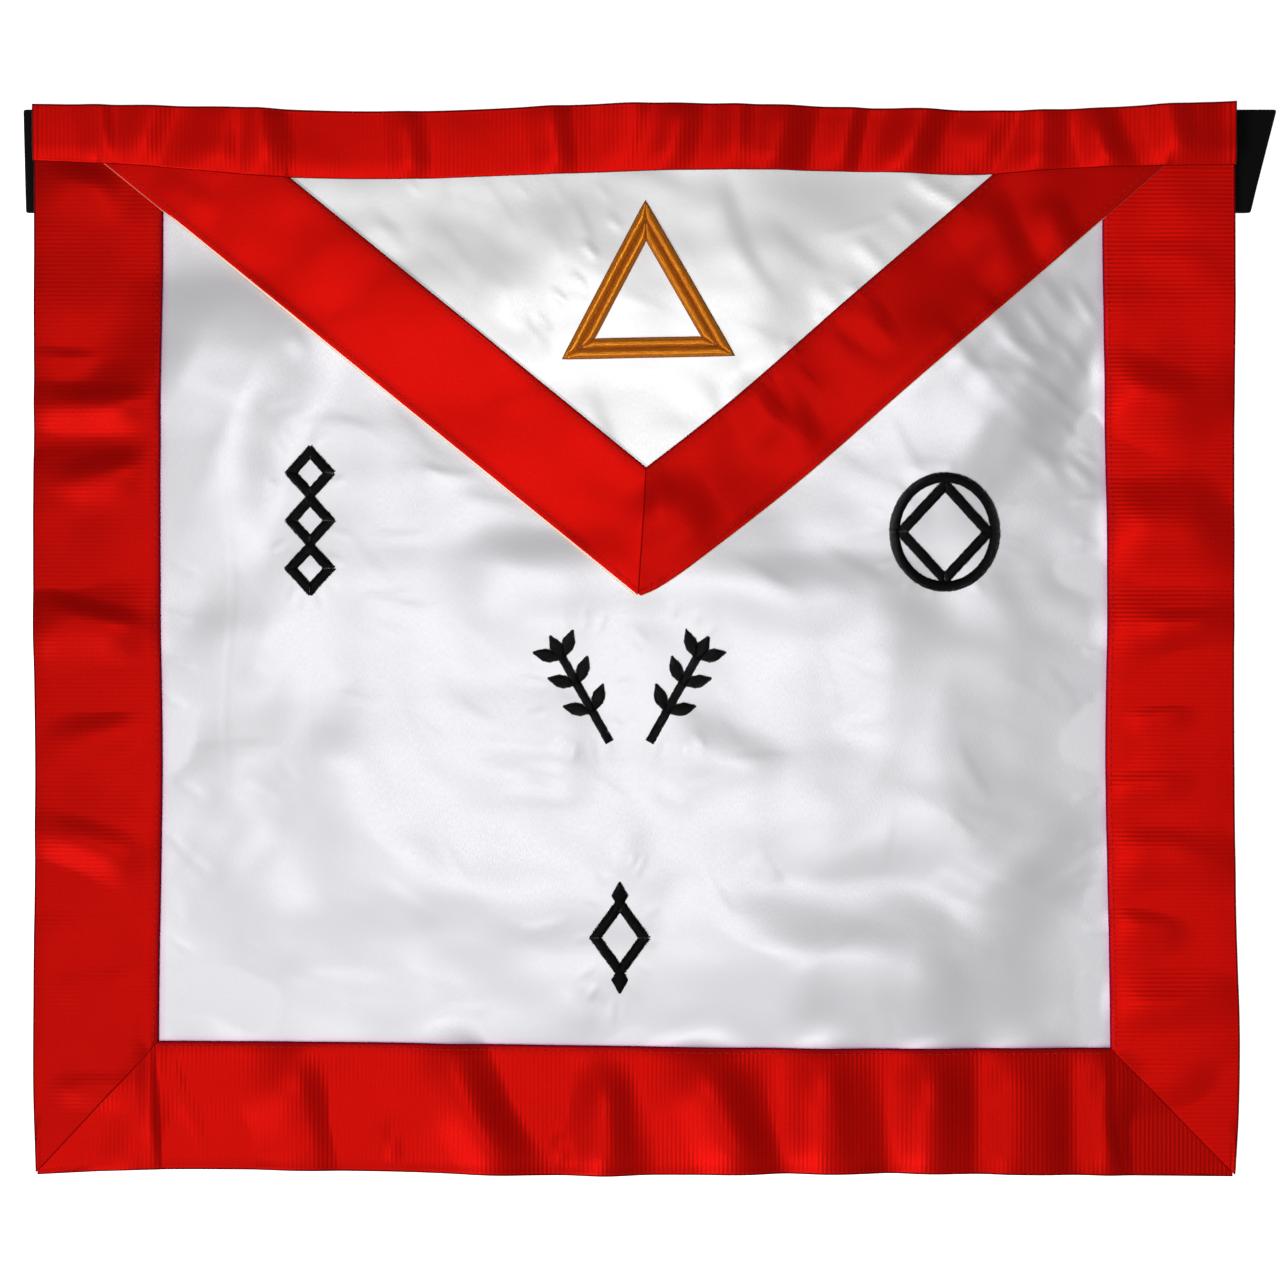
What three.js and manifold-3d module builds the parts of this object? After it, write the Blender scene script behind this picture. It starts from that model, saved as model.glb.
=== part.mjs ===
// A masonic apron of white satin with ribbed red ribbon borders, lying face up on a flat surface.
// Millimetres, +Z up, +Y towards the waist edge. The origin is under the middle of the whole thing.
import * as THREE from 'three';
import { mergeVertices } from 'three/addons/utils/BufferGeometryUtils.js';
import Module from 'manifold-3d';

const wasm = await Module();
wasm.setup();

// Driving dimensions of the apron
const apronWidth = 400;
const apronHeight = 356.5;
const borderWidth = 42.5; // ribbon down both sides and along the hem
const waistBandHeight = 21.3;
const edgeWander = 3; // the most that a hand-sewn edge strays from its straight line
const turnUnder = 0.8; // how far the ribbons reach past the satin beneath them

// The flap
const flapDrop = 164; // from the waist edge down to the tip
const flapTipShift = 1; // the tip hangs a little to the right of the middle
const flapBow = 4.5; // how far the right edge bows outwards
const flapRibbonWidth = 34.7;
const flapRim = 0.6; // satin showing beyond the ribbon

// Thicknesses, and the space left between pieces that touch
const satinThickness = 1.2;
const ribbonThickness = 1;
const flapThickness = 1;
const stitchThickness = 1;
const webbingThickness = 1.4;
const layerGap = 0.3;

// The belt and its hidden clasp
const beltWidth = 34.2;
const beltInset = 1.7; // from the waist edge down to the webbing
const beltSag = 4; // how much lower it lies behind the middle of the apron
const beltSagRun = 60;
const beltSewn = 32; // length sewn under each upper corner
const leftFoldReach = { top: 3.6, bottom: 2.7 }; // how far the fold shows past the border
const rightFoldReach = { top: 13.5, bottom: 4.9 };
const claspLength = 34;
const claspPocket = 12; // depth that the webbing goes into each end
const claspSkin = 0.7; // wall above and below the webbing
const claspCheek = 1.6; // wall beside the webbing
const claspRamp = 16; // length over which the webbing rises to the clasp

// Embroidery
const strokeWidth = 3.3;
const triangleBand = 2.9; // width of each of the two gold bands
const triangleTurn = 1.1; // degrees, anticlockwise
const pairClearance = 8.6; // from the flap's tip down to the two sprigs

// How the cloth drapes over what is under it
const foldRise = 2.2; // height of the tallest fold
const foldEnds = 1.6; // how bluntly a fold ends: 1 falls from its middle, more stays high for longer
const waistFoldRise = 1.2;
const beltRamp = 46; // run over which the body comes down from the belt to the surface
const levelRamp = 40; // run between one height over the belt and the next
const liftRamp = 26; // run over which the flap comes down from a border

// Fineness of the faceted cloth
const columnStep = 11.5;
const rowStep = 14;
const edgeStep = 24;
const foldSides = 6;
const ringSides = 24;
const rampSteps = [0.3, 0.5, 0.7, 1]; // where the webbing bends on its way up to the clasp

const halfWidth = apronWidth / 2;
const halfHeight = apronHeight / 2;
const cellReach = Math.hypot(columnStep, rowStep);

// Each edge's table: at runs from 0 to 1 along the edge, left to right or top to bottom, and inward is
// the share of edgeWander by which the edge comes towards the middle there.
const topEdge = [
  { at: 0, inward: 0.25 },
  { at: 0.14, inward: 0.55 },
  { at: 0.28, inward: 1 },
  { at: 0.4, inward: 0.65 },
  { at: 0.5, inward: 0.12 },
  { at: 0.62, inward: 0.35 },
  { at: 0.72, inward: 0.72 },
  { at: 0.82, inward: 1 },
  { at: 0.91, inward: 0.5 },
  { at: 1, inward: -0.1 },
];
const hemEdge = [
  { at: 0, inward: 0.2 },
  { at: 0.1, inward: 0.75 },
  { at: 0.28, inward: 0.55 },
  { at: 0.45, inward: 0.1 },
  { at: 0.6, inward: 0.28 },
  { at: 0.75, inward: 0.35 },
  { at: 0.9, inward: 0.1 },
  { at: 1, inward: 0 },
];
const leftEdge = [
  { at: 0, inward: 0.2 },
  { at: 0.2, inward: 0.15 },
  { at: 0.42, inward: -0.1 },
  { at: 0.65, inward: 0.15 },
  { at: 0.9, inward: -0.1 },
  { at: 1, inward: 0.2 },
];
const rightEdge = [
  { at: 0, inward: 0.3 },
  { at: 0.3, inward: 0.2 },
  { at: 0.6, inward: 0.2 },
  { at: 0.75, inward: 0 },
  { at: 0.87, inward: -0.4 },
  { at: 0.94, inward: -0.3 },
  { at: 1, inward: 0.1 },
];
const leftSeam = [
  { at: 0, inward: 0.45 },
  { at: 0.2, inward: 0.22 },
  { at: 0.44, inward: -0.12 },
  { at: 0.62, inward: 0.1 },
  { at: 0.85, inward: -0.3 },
  { at: 1, inward: -0.2 },
];
const rightSeam = [
  { at: 0, inward: 0.9 },
  { at: 0.16, inward: 0.75 },
  { at: 0.3, inward: 0.4 },
  { at: 0.45, inward: 0.12 },
  { at: 0.62, inward: 0.32 },
  { at: 0.8, inward: -0.1 },
  { at: 1, inward: -0.35 },
];
const hemSeam = [
  { at: 0, inward: 0.9 },
  { at: 0.25, inward: 0.75 },
  { at: 0.45, inward: 0.35 },
  { at: 0.62, inward: 0.1 },
  { at: 1, inward: 0.1 },
];
const waistSeam = [
  { at: 0, inward: -0.67 },
  { at: 0.09, inward: -0.05 },
  { at: 0.2, inward: 1.15 },
  { at: 0.3, inward: 1.33 },
  { at: 0.42, inward: 0.9 },
  { at: 0.55, inward: 0.36 },
  { at: 0.7, inward: 0.55 },
  { at: 0.78, inward: 0.9 },
  { at: 0.87, inward: 0.22 },
  { at: 1, inward: -0.2 },
];
// The bow of the flap's right edge: at runs from the tip to the corner, and inward is a share of flapBow.
const flapBows = [
  { at: 0, inward: 0 },
  { at: 0.03, inward: -0.46 },
  { at: 0.09, inward: -0.75 },
  { at: 0.26, inward: -1 },
  { at: 0.45, inward: -0.7 },
  { at: 0.65, inward: -0.5 },
  { at: 0.8, inward: -0.28 },
  { at: 1, inward: 0 },
];

// Folds of the cloth, each a rounded ridge. x and y place its middle as shares of the apron's width and
// height, turn is the ridge's direction in degrees, long and wide are half its length and half its width
// as shares of the apron's width, and rise is its height as a share of foldRise.
const bodyFolds = [
  { x: -0.411, y: -0.45, turn: 75, long: 0.07, wide: 0.032, rise: 0.6 },
  { x: -0.291, y: -0.45, turn: 92, long: 0.07, wide: 0.038, rise: 0.6 },
  { x: -0.135, y: -0.435, turn: 114, long: 0.08, wide: 0.036, rise: 0.9 },
  { x: -0.03, y: -0.455, turn: 90, long: 0.065, wide: 0.032, rise: 0.6 },
  { x: 0.07, y: -0.445, turn: 112, long: 0.075, wide: 0.036, rise: 0.8 },
  { x: 0.149, y: -0.445, turn: 92, long: 0.07, wide: 0.034, rise: 0.9 },
  { x: 0.238, y: -0.445, turn: 90, long: 0.07, wide: 0.032, rise: 0.9 },
  { x: 0.307, y: -0.45, turn: 90, long: 0.07, wide: 0.03, rise: 0.7 },
  { x: 0.389, y: -0.45, turn: 88, long: 0.07, wide: 0.032, rise: 0.9 },
  { x: -0.457, y: 0.224, turn: 3, long: 0.07, wide: 0.034, rise: 0.9 },
  { x: -0.457, y: 0.159, turn: -4, long: 0.06, wide: 0.03, rise: 0.5 },
  { x: -0.457, y: 0.012, turn: 2, long: 0.07, wide: 0.042, rise: 0.8 },
  { x: -0.457, y: -0.175, turn: -3, long: 0.07, wide: 0.04, rise: 0.5 },
  { x: 0.446, y: 0.229, turn: 4, long: 0.07, wide: 0.048, rise: 0.8 },
  { x: 0.446, y: 0.098, turn: -5, long: 0.07, wide: 0.048, rise: 0.7 },
  { x: 0.446, y: 0.017, turn: 3, long: 0.07, wide: 0.034, rise: 0.6 },
  { x: 0.446, y: -0.205, turn: -3, long: 0.07, wide: 0.038, rise: 0.6 },
  { x: 0.446, y: -0.335, turn: 3, long: 0.07, wide: 0.032, rise: 0.6 },
  { x: -0.079, y: -0.246, turn: -10, long: 0.14, wide: 0.04, rise: 0.7 },
  { x: 0.174, y: -0.309, turn: -13, long: 0.19, wide: 0.05, rise: 0.8 },
  { x: 0.046, y: 0.061, turn: -5, long: 0.22, wide: 0.045, rise: 0.8 },
  { x: -0.328, y: 0.238, turn: 2, long: 0.08, wide: 0.045, rise: 0.5 },
  { x: -0.295, y: -0.109, turn: -2, long: 0.09, wide: 0.035, rise: 0.4 },
  { x: 0.316, y: 0.22, turn: 14, long: 0.07, wide: 0.045, rise: 0.5 },
  { x: 0.332, y: 0.038, turn: -4, long: 0.08, wide: 0.04, rise: 0.5 },
  { x: -0.061, y: -0.116, turn: 92, long: 0.07, wide: 0.034, rise: 0.5 },
  { x: 0.07, y: -0.107, turn: -15, long: 0.06, wide: 0.03, rise: 0.5 },
];
// The waist band's own folds, in the same columns, with rise as a share of waistFoldRise.
const waistFolds = [
  { x: -0.43, y: 0.47, turn: 90, long: 0.08, wide: 0.04, rise: 0.6 },
  { x: -0.31, y: 0.47, turn: 84, long: 0.08, wide: 0.04, rise: 0.9 },
  { x: -0.2, y: 0.47, turn: 90, long: 0.08, wide: 0.045, rise: 0.7 },
  { x: -0.07, y: 0.47, turn: 96, long: 0.08, wide: 0.045, rise: 0.8 },
  { x: 0.09, y: 0.47, turn: 90, long: 0.08, wide: 0.05, rise: 0.6 },
  { x: 0.22, y: 0.47, turn: 86, long: 0.08, wide: 0.04, rise: 0.9 },
  { x: 0.33, y: 0.47, turn: 90, long: 0.08, wide: 0.035, rise: 1 },
  { x: 0.44, y: 0.47, turn: 92, long: 0.08, wide: 0.04, rise: 0.7 },
];

// The black motifs: x, y, width and height are shares of the satin field inside the borders, measured
// from the field's middle. A motif with underFlap hangs that far to the side below the flap's tip.
const motifs = [
  { name: 'ornament_left', form: lozengeChain, x: -0.343, y: 0.1, width: 0.055, height: 0.174 },
  { name: 'ornament_right', form: ringAndLozenge, x: 0.327, y: 0.087, width: 0.117, height: 0.135 },
  { name: 'ornament_centre_left', form: sprig, lean: 1, underFlap: -0.0575, width: 0.0825, height: 0.135 },
  { name: 'ornament_centre_right', form: sprig, lean: -1, underFlap: 0.046, width: 0.0825, height: 0.135 },
  { name: 'ornament_bottom', form: tallLozenge, x: -0.016, y: -0.374, width: 0.065, height: 0.13 },
];

const satin = new THREE.MeshStandardMaterial({ color: 0xdedde2, roughness: 0.45, metalness: 0 });
const flapSatin = new THREE.MeshStandardMaterial({ color: 0xececee, roughness: 0.42, metalness: 0 });
const ribbon = new THREE.MeshStandardMaterial({ color: 0xb9120e, roughness: 0.55, metalness: 0 });
const flapRibbon = new THREE.MeshStandardMaterial({ color: 0xc9140d, roughness: 0.55, metalness: 0 });
const goldThread = new THREE.MeshStandardMaterial({ color: 0xb7621d, roughness: 0.4, metalness: 0.1 });
const blackThread = new THREE.MeshStandardMaterial({ color: 0x141414, roughness: 0.5, metalness: 0 });
const webbing = new THREE.MeshStandardMaterial({ color: 0x0c0c0a, roughness: 0.8, metalness: 0 });
const claspMetal = new THREE.MeshStandardMaterial({ color: 0x8f9194, roughness: 0.35, metalness: 0.9 });

// 0 below 0, 1 above 1, and a smooth rise between them.
const ease = (t) => THREE.MathUtils.smoothstep(t, 0, 1);

// The value of a table of rows { at, inward } at a share, on a smooth curve through the rows.
function follow(table, share) {
  const at = THREE.MathUtils.clamp(share, 0, 1);
  const i = Math.max(0, table.findLastIndex((row, k) => k < table.length - 1 && row.at <= at));
  const [a, b] = [table[i], table[i + 1]];
  const slopeAt = (k) => {
    const before = table[Math.max(k - 1, 0)];
    const after = table[Math.min(k + 1, table.length - 1)];
    return (after.inward - before.inward) / (after.at - before.at);
  };
  const run = b.at - a.at;
  const t = (at - a.at) / run;
  return (
    a.inward * (1 - t) ** 2 * (1 + 2 * t) +
    b.inward * t ** 2 * (3 - 2 * t) +
    run * (slopeAt(i) * t * (1 - t) ** 2 - slopeAt(i + 1) * t ** 2 * (1 - t))
  );
}

// The outer edges and the seams, as y for an x or x for a y
const across = (x) => x / apronWidth + 0.5;
const down = (y) => 0.5 - y / apronHeight;
const topY = (x) => halfHeight - edgeWander * follow(topEdge, across(x));
const hemY = (x) => -halfHeight + edgeWander * follow(hemEdge, across(x));
const leftX = (y) => -halfWidth + edgeWander * follow(leftEdge, down(y));
const rightX = (y) => halfWidth - edgeWander * follow(rightEdge, down(y));
const leftSeamX = (y) => -halfWidth + borderWidth + edgeWander * follow(leftSeam, down(y));
const rightSeamX = (y) => halfWidth - borderWidth - edgeWander * follow(rightSeam, down(y));
const hemSeamY = (x) => -halfHeight + borderWidth + edgeWander * follow(hemSeam, across(x));
const waistSeamY = (x) => halfHeight - waistBandHeight - edgeWander * follow(waistSeam, across(x));

// Points from one value to another, both ends included, at most edgeStep apart.
function trace(from, to, pointAt) {
  const steps = Math.max(1, Math.ceil(Math.abs(to - from) / edgeStep));
  return Array.from({ length: steps + 1 }, (_, i) => pointAt(from + ((to - from) * i) / steps));
}
const point = (x, y) => new THREE.Vector2(x, y);

// The apron's outline, anticlockwise, moved inwards by inset.
function apronOutline(inset) {
  const low = hemY(0) + inset;
  const high = topY(0) - inset;
  const left = leftX(0) + inset;
  const right = rightX(0) - inset;
  return [
    ...trace(left, right, (x) => point(x, hemY(x) + inset)),
    ...trace(low, high, (y) => point(rightX(y) - inset, y)).slice(1, -1),
    ...trace(right, left, (x) => point(x, topY(x) - inset)),
    ...trace(high, low, (y) => point(leftX(y) + inset, y)).slice(1, -1),
  ];
}

// The flap's edges: a point at a share of the way from the tip to an upper corner, moved inwards.
const flapTip = point(flapTipShift, halfHeight - flapDrop);
function flapEdge(side, share, inset) {
  const corner = point(side * halfWidth, topY(side * halfWidth));
  const run = corner.clone().sub(flapTip);
  const inwards = point(-side * run.y, side * run.x).normalize();
  const bow = side > 0 ? flapBow * follow(flapBows, share) : 0;
  return flapTip.clone().addScaledVector(run, share).addScaledVector(inwards, bow + inset);
}
const pastCorner = 1.12; // the flap's edges are drawn this far, and trimmed to the apron
const flapLine = (side, inset) =>
  trace(0, flapDrop * pastCorner, (d) => flapEdge(side, d / flapDrop, inset));

// Where two chains of points cross.
function crossing(first, second) {
  for (let i = 1; i < first.length; i++) {
    for (let j = 1; j < second.length; j++) {
      const a = first[i].clone().sub(first[i - 1]);
      const b = second[j].clone().sub(second[j - 1]);
      const between = second[j - 1].clone().sub(first[i - 1]);
      const t = between.cross(b) / a.cross(b);
      const s = between.cross(a) / a.cross(b);
      if (t >= 0 && t <= 1 && s >= 0 && s <= 1) {
        return { point: first[i - 1].clone().addScaledVector(a, t), first: i, second: j };
      }
    }
  }
  throw new Error('the two lines do not cross');
}
const bandInset = flapRim + flapRibbonWidth;
const bandMeeting = crossing(flapLine(-1, bandInset), flapLine(1, bandInset));
const waistLine = trace(-halfWidth, halfWidth, (x) => point(x, waistSeamY(x)));
const bandTopX = (side) => crossing(flapLine(side, bandInset), waistLine).point.x;
const [bandTopLeft, bandTopRight] = [bandTopX(-1), bandTopX(1)];

// The belt's heights and place
const lowerRun = webbingThickness + layerGap;
const doubleRun = lowerRun * 2;
const claspHeight = 2 * claspSkin + webbingThickness + 2 * layerGap;
const beltTop = halfHeight - beltInset;
const claspWidth = beltWidth + 2 * (layerGap + claspCheek);
const claspY = beltTop - beltSag - beltWidth / 2;

// Height of a set of folds over a place.
function foldHeight(folds, x, y) {
  return folds.reduce((sum, fold) => {
    const dx = x - fold.x * apronWidth;
    const dy = y - fold.y * apronHeight;
    const turn = THREE.MathUtils.degToRad(fold.turn);
    const alongIt = Math.abs(dx * Math.cos(turn) + dy * Math.sin(turn)) / (fold.long * apronWidth);
    const acrossIt = Math.abs(dy * Math.cos(turn) - dx * Math.sin(turn)) / (fold.wide * apronWidth);
    return sum + fold.rise * ease(1 - acrossIt) * ease(foldEnds * (1 - alongIt));
  }, 0);
}

// Height of the body's underside: level over the belt behind it, down to the surface lower down.
function ground(x, y) {
  const strip = ease((y - (claspY - claspWidth / 2 - cellReach - beltRamp)) / beltRamp);
  const corner = ease((Math.abs(x) - (halfWidth - beltSewn - cellReach - levelRamp)) / levelRamp);
  const middle = 1 - ease((Math.abs(x) - claspLength / 2 - cellReach) / levelRamp);
  const level = lowerRun + (doubleRun - lowerRun) * corner + (claspHeight + layerGap - lowerRun) * middle;
  return strip * level + foldRise * foldHeight(bodyFolds, x, y);
}

// Undersides of the layers above the body. The flap lies higher where a border is beneath it, and the
// waist band where the flap's ribbons are.
const onBody = (x, y) => ground(x, y) + satinThickness + layerGap;
function underFlap(x, y) {
  const borderFrom = halfWidth - borderWidth - edgeWander - cellReach - liftRamp;
  return onBody(x, y) + (ribbonThickness + layerGap) * ease((Math.abs(x) - borderFrom) / liftRamp);
}
const onFlap = (x, y) => underFlap(x, y) + flapThickness + layerGap;
function underWaistBand(x, y) {
  const pastLeft = (bandTopLeft + cellReach + liftRamp - x) / liftRamp;
  const pastRight = (x - bandTopRight + cellReach + liftRamp) / liftRamp;
  const lift = (ribbonThickness + layerGap) * Math.max(ease(pastLeft), ease(pastRight));
  return onFlap(x, y) + lift + waistFoldRise * foldHeight(waistFolds, x, y);
}

// A solid from a flat list of coordinates and a flat list of corner numbers.
function solid(positions, triangles) {
  const mesh = new wasm.Mesh({
    numProp: 3,
    vertProperties: Float32Array.from(positions),
    triVerts: Uint32Array.from(triangles),
  });
  return new wasm.Manifold(mesh);
}

function solidFrom(geometry) {
  geometry.deleteAttribute('normal');
  geometry.deleteAttribute('uv');
  const merged = mergeVertices(geometry);
  return solid(merged.attributes.position.array, merged.index.array);
}

// An upright block with the given outline, tall enough to cut any layer.
const cutterFloor = -5;
const cutterHeight = 40;
function cutter(points) {
  const options = { depth: cutterHeight, bevelEnabled: false };
  const geometry = new THREE.ExtrudeGeometry(new THREE.Shape(points), options);
  return solidFrom(geometry.translate(0, 0, cutterFloor));
}

function boxSolid(size, centre) {
  return solidFrom(new THREE.BoxGeometry(...size).translate(...centre));
}

// A sheet of cloth over the rectangle round some points, faceted on one lattice that every layer shares,
// so that layers keep the same distance all over. under gives the height of its lower face.
function drape(points, under, thickness) {
  const box = new THREE.Box2().setFromPoints(points);
  const firstColumn = Math.floor(box.min.x / columnStep);
  const firstRow = Math.floor(box.min.y / rowStep);
  const columns = Math.ceil(box.max.x / columnStep) - firstColumn;
  const rows = Math.ceil(box.max.y / rowStep) - firstRow;
  const positions = [];
  for (let row = 0; row <= rows; row++) {
    for (let column = 0; column <= columns; column++) {
      const x = (firstColumn + column) * columnStep;
      const y = (firstRow + row) * rowStep;
      const z = under(x, y);
      positions.push(x, y, z, x, y, z + thickness);
    }
  }
  const lower = (column, row) => 2 * (row * (columns + 1) + column);
  const triangles = [];
  const quad = (a, b, c, d) => triangles.push(a, b, c, a, c, d);
  for (let row = 0; row < rows; row++) {
    for (let column = 0; column < columns; column++) {
      const [a, b] = [lower(column, row), lower(column + 1, row)];
      const [c, d] = [lower(column + 1, row + 1), lower(column, row + 1)];
      triangles.push(a, c, b, a, d, c);
      quad(a + 1, b + 1, c + 1, d + 1);
    }
  }
  for (let column = 0; column < columns; column++) {
    const [a, b] = [lower(column, 0), lower(column + 1, 0)];
    const [c, d] = [lower(column, rows), lower(column + 1, rows)];
    quad(a, b, b + 1, a + 1);
    quad(d, c, c + 1, d + 1);
  }
  for (let row = 0; row < rows; row++) {
    const [a, b] = [lower(0, row), lower(0, row + 1)];
    const [c, d] = [lower(columns, row), lower(columns, row + 1)];
    quad(b, a, a + 1, b + 1);
    quad(c, d, d + 1, c + 1);
  }
  return solid(positions, triangles);
}

// Cloth cut to an outline, and trimmed to the apron's own.
function cutCloth(points, under, thickness, apronInset) {
  const sheet = drape(points, under, thickness).intersect(cutter(points));
  return apronInset === undefined ? sheet : sheet.intersect(cutter(apronOutline(apronInset)));
}

// A seam between two points, moved sideways by half a gap, to the left of its direction or the right.
function seamSide(from, to, side) {
  const along = to.clone().sub(from).normalize();
  const sideways = point(-along.y, along.x).multiplyScalar((side * layerGap) / 2);
  return [from.clone().add(sideways), to.clone().add(sideways)];
}

// The borders. At each lower corner a mitre seam runs from the outer corner to the inner one.
const pastTop = halfHeight + edgeWander;
function mitre(side) {
  const outer = point(side * halfWidth, hemY(side * halfWidth));
  const seamX = side < 0 ? leftSeamX : rightSeamX;
  const inner = point(seamX(-halfHeight + borderWidth), hemSeamY(side * (halfWidth - borderWidth)));
  const past = outer.clone().sub(inner).setLength(2 * edgeWander);
  return { outer: outer.add(past), inner };
}

function sideBorder(side) {
  const { outer, inner } = mitre(side);
  const [low, corner] = seamSide(outer, inner, -side);
  const seamX = side < 0 ? leftSeamX : rightSeamX;
  const seam = trace(corner.y, pastTop, (y) => point(seamX(y), y)).slice(1);
  const far = side * (halfWidth + 2 * edgeWander);
  return cutCloth([low, corner, ...seam, point(far, pastTop), point(far, low.y)], onBody, ribbonThickness, 0);
}

function hemBorder() {
  const [left, right] = [mitre(-1), mitre(1)];
  const [leftLow, leftHigh] = seamSide(left.outer, left.inner, -1);
  const [rightLow, rightHigh] = seamSide(right.outer, right.inner, 1);
  const seam = trace(rightHigh.x, leftHigh.x, (x) => point(x, hemSeamY(x))).slice(1, -1);
  return cutCloth([leftLow, rightLow, rightHigh, ...seam, leftHigh], onBody, ribbonThickness, 0);
}

function waistBand() {
  const far = halfWidth + edgeWander;
  const seam = trace(-far, far, (x) => point(x, waistSeamY(x)));
  return cutCloth([...seam, point(far, pastTop), point(-far, pastTop)], underWaistBand, ribbonThickness, 0);
}

function flapPanel() {
  const right = flapLine(1, 0);
  const left = flapLine(-1, 0).reverse();
  return cutCloth([...right, ...left.slice(0, -1)], underFlap, flapThickness, turnUnder);
}

function flapBand(side) {
  const outerLine = flapLine(side, flapRim);
  const innerLine = flapLine(side, bandInset);
  const meeting = side < 0 ? bandMeeting.first : bandMeeting.second;
  const rimMeeting = crossing(flapLine(-1, flapRim), flapLine(1, flapRim));
  const outerFrom = side < 0 ? rimMeeting.first : rimMeeting.second;
  const [tip, top] = seamSide(rimMeeting.point, bandMeeting.point, -side);
  const points = [tip, ...outerLine.slice(outerFrom), ...innerLine.slice(meeting).reverse(), top];
  return cutCloth(points, onFlap, ribbonThickness, turnUnder);
}

// A rhombus, and one whose sides stand off its own by a distance.
function rhombus(x, y, halfX, halfY, offset = 0) {
  const slant = offset * Math.hypot(halfX, halfY);
  const [reachX, reachY] = [halfX + slant / halfY, halfY + slant / halfX];
  return [point(x + reachX, y), point(x, y + reachY), point(x - reachX, y), point(x, y - reachY)];
}

// A rhombus drawn with one stroke: its outer corners are at the given half sizes.
function rhombusStroke(x, y, halfX, halfY) {
  const hole = cutter(rhombus(x, y, halfX, halfY, -strokeWidth));
  return cutter(rhombus(x, y, halfX, halfY)).subtract(hole);
}

// The motifs, each as an upright block about its own middle
function lozengeChain({ width, height }) {
  const links = 3;
  const linkHeight = (height + (links - 1) * strokeWidth) / links;
  const middles = [-1, 0, 1].map((k) => k * (linkHeight - strokeWidth));
  return middles
    .map((y) => rhombusStroke(0, y, width / 2, linkHeight / 2))
    .reduce((whole, link) => whole.add(link));
}

function ringAndLozenge({ width, height }) {
  const circle = (radiusX, radiusY) =>
    Array.from({ length: ringSides }, (_, i) => {
      const turn = (i * 2 * Math.PI) / ringSides;
      return point(radiusX * Math.cos(turn), radiusY * Math.sin(turn));
    });
  const inner = circle(width / 2 - strokeWidth, height / 2 - strokeWidth);
  const ring = cutter(circle(width / 2, height / 2)).subtract(cutter(inner));
  return ring.add(rhombusStroke(0, 0, (width - strokeWidth) / 2, (height - strokeWidth) / 2));
}

// A leaning stem with pairs of leaves; lean is 1 where the top leans to the left. The stem's width and
// the leaves' breadth are shares of strokeWidth, a leaf's length is a share of the motif's height, and
// the top leaf starts a little way inside the stem.
const stemShare = 0.85;
const leafBreadthShare = 1.25;
const leafShare = 0.27;
const leafRootShare = 0.08;
const leafDegrees = 48;
const leafPairs = [0.34, 0.66, 0.96]; // places of the leaves, as shares of the stem
function sprig({ width, height, lean }) {
  const leafLength = height * leafShare;
  const foot = point(lean * (width / 2 - strokeWidth), -height / 2);
  const tip = point(-lean * (width / 4), height / 2 - leafLength);
  const stem = tip.clone().sub(foot);
  const sideways = point(-stem.y, stem.x).setLength((strokeWidth * stemShare) / 2);
  const stemShape = [
    foot.clone().sub(sideways),
    tip.clone().sub(sideways),
    tip.clone().add(sideways),
    foot.clone().add(sideways),
  ];
  const leaf = (share, turn) => {
    const root = foot.clone().addScaledVector(stem, share);
    const angle = stem.angle() + THREE.MathUtils.degToRad(turn);
    const shape = rhombus(leafLength / 2, 0, leafLength / 2, (strokeWidth * leafBreadthShare) / 2);
    return cutter(shape.map((p) => p.rotateAround(point(0, 0), angle).add(root)));
  };
  const leaves = leafPairs.flatMap((share) => [
    leaf(share, leafDegrees),
    leaf(share, -leafDegrees),
  ]);
  const topLeaf = leaf(1 - leafRootShare, 0);
  return [...leaves, topLeaf].reduce((whole, piece) => whole.add(piece), cutter(stemShape));
}

// One tall open lozenge with a small solid one at each end.
const finialShare = 0.13;
function tallLozenge({ width, height }) {
  const finial = height * finialShare;
  const frame = rhombusStroke(0, 0, width / 2, height / 2 - finial);
  const tips = [-1, 1].map((end) => {
    const y = end * (height / 2 - finial);
    return cutter(rhombus(0, y, strokeWidth * stemShare, finial));
  });
  return frame.add(tips[0]).add(tips[1]);
}

// Embroidery: an upright block moved to its place and cut from a draped layer of thread.
function stitched(block, place, reach, under) {
  const area = [point(place.x - reach, place.y - reach), point(place.x + reach, place.y + reach)];
  return drape(area, under, stitchThickness).intersect(block.translate([place.x, place.y, 0]));
}

const fieldWidth = apronWidth - 2 * borderWidth;
const fieldHeight = apronHeight - borderWidth - waistBandHeight;
const fieldMiddle = (borderWidth - waistBandHeight) / 2;
function ornament(motif) {
  const size = { width: motif.width * fieldWidth, height: motif.height * fieldHeight, lean: motif.lean };
  const place =
    motif.underFlap === undefined
      ? point(motif.x * fieldWidth, fieldMiddle + motif.y * fieldHeight)
      : point(motif.underFlap * fieldWidth, flapTip.y - pairClearance - size.height / 2);
  return stitched(motif.form(size), place, Math.max(size.width, size.height), onBody);
}

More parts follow.
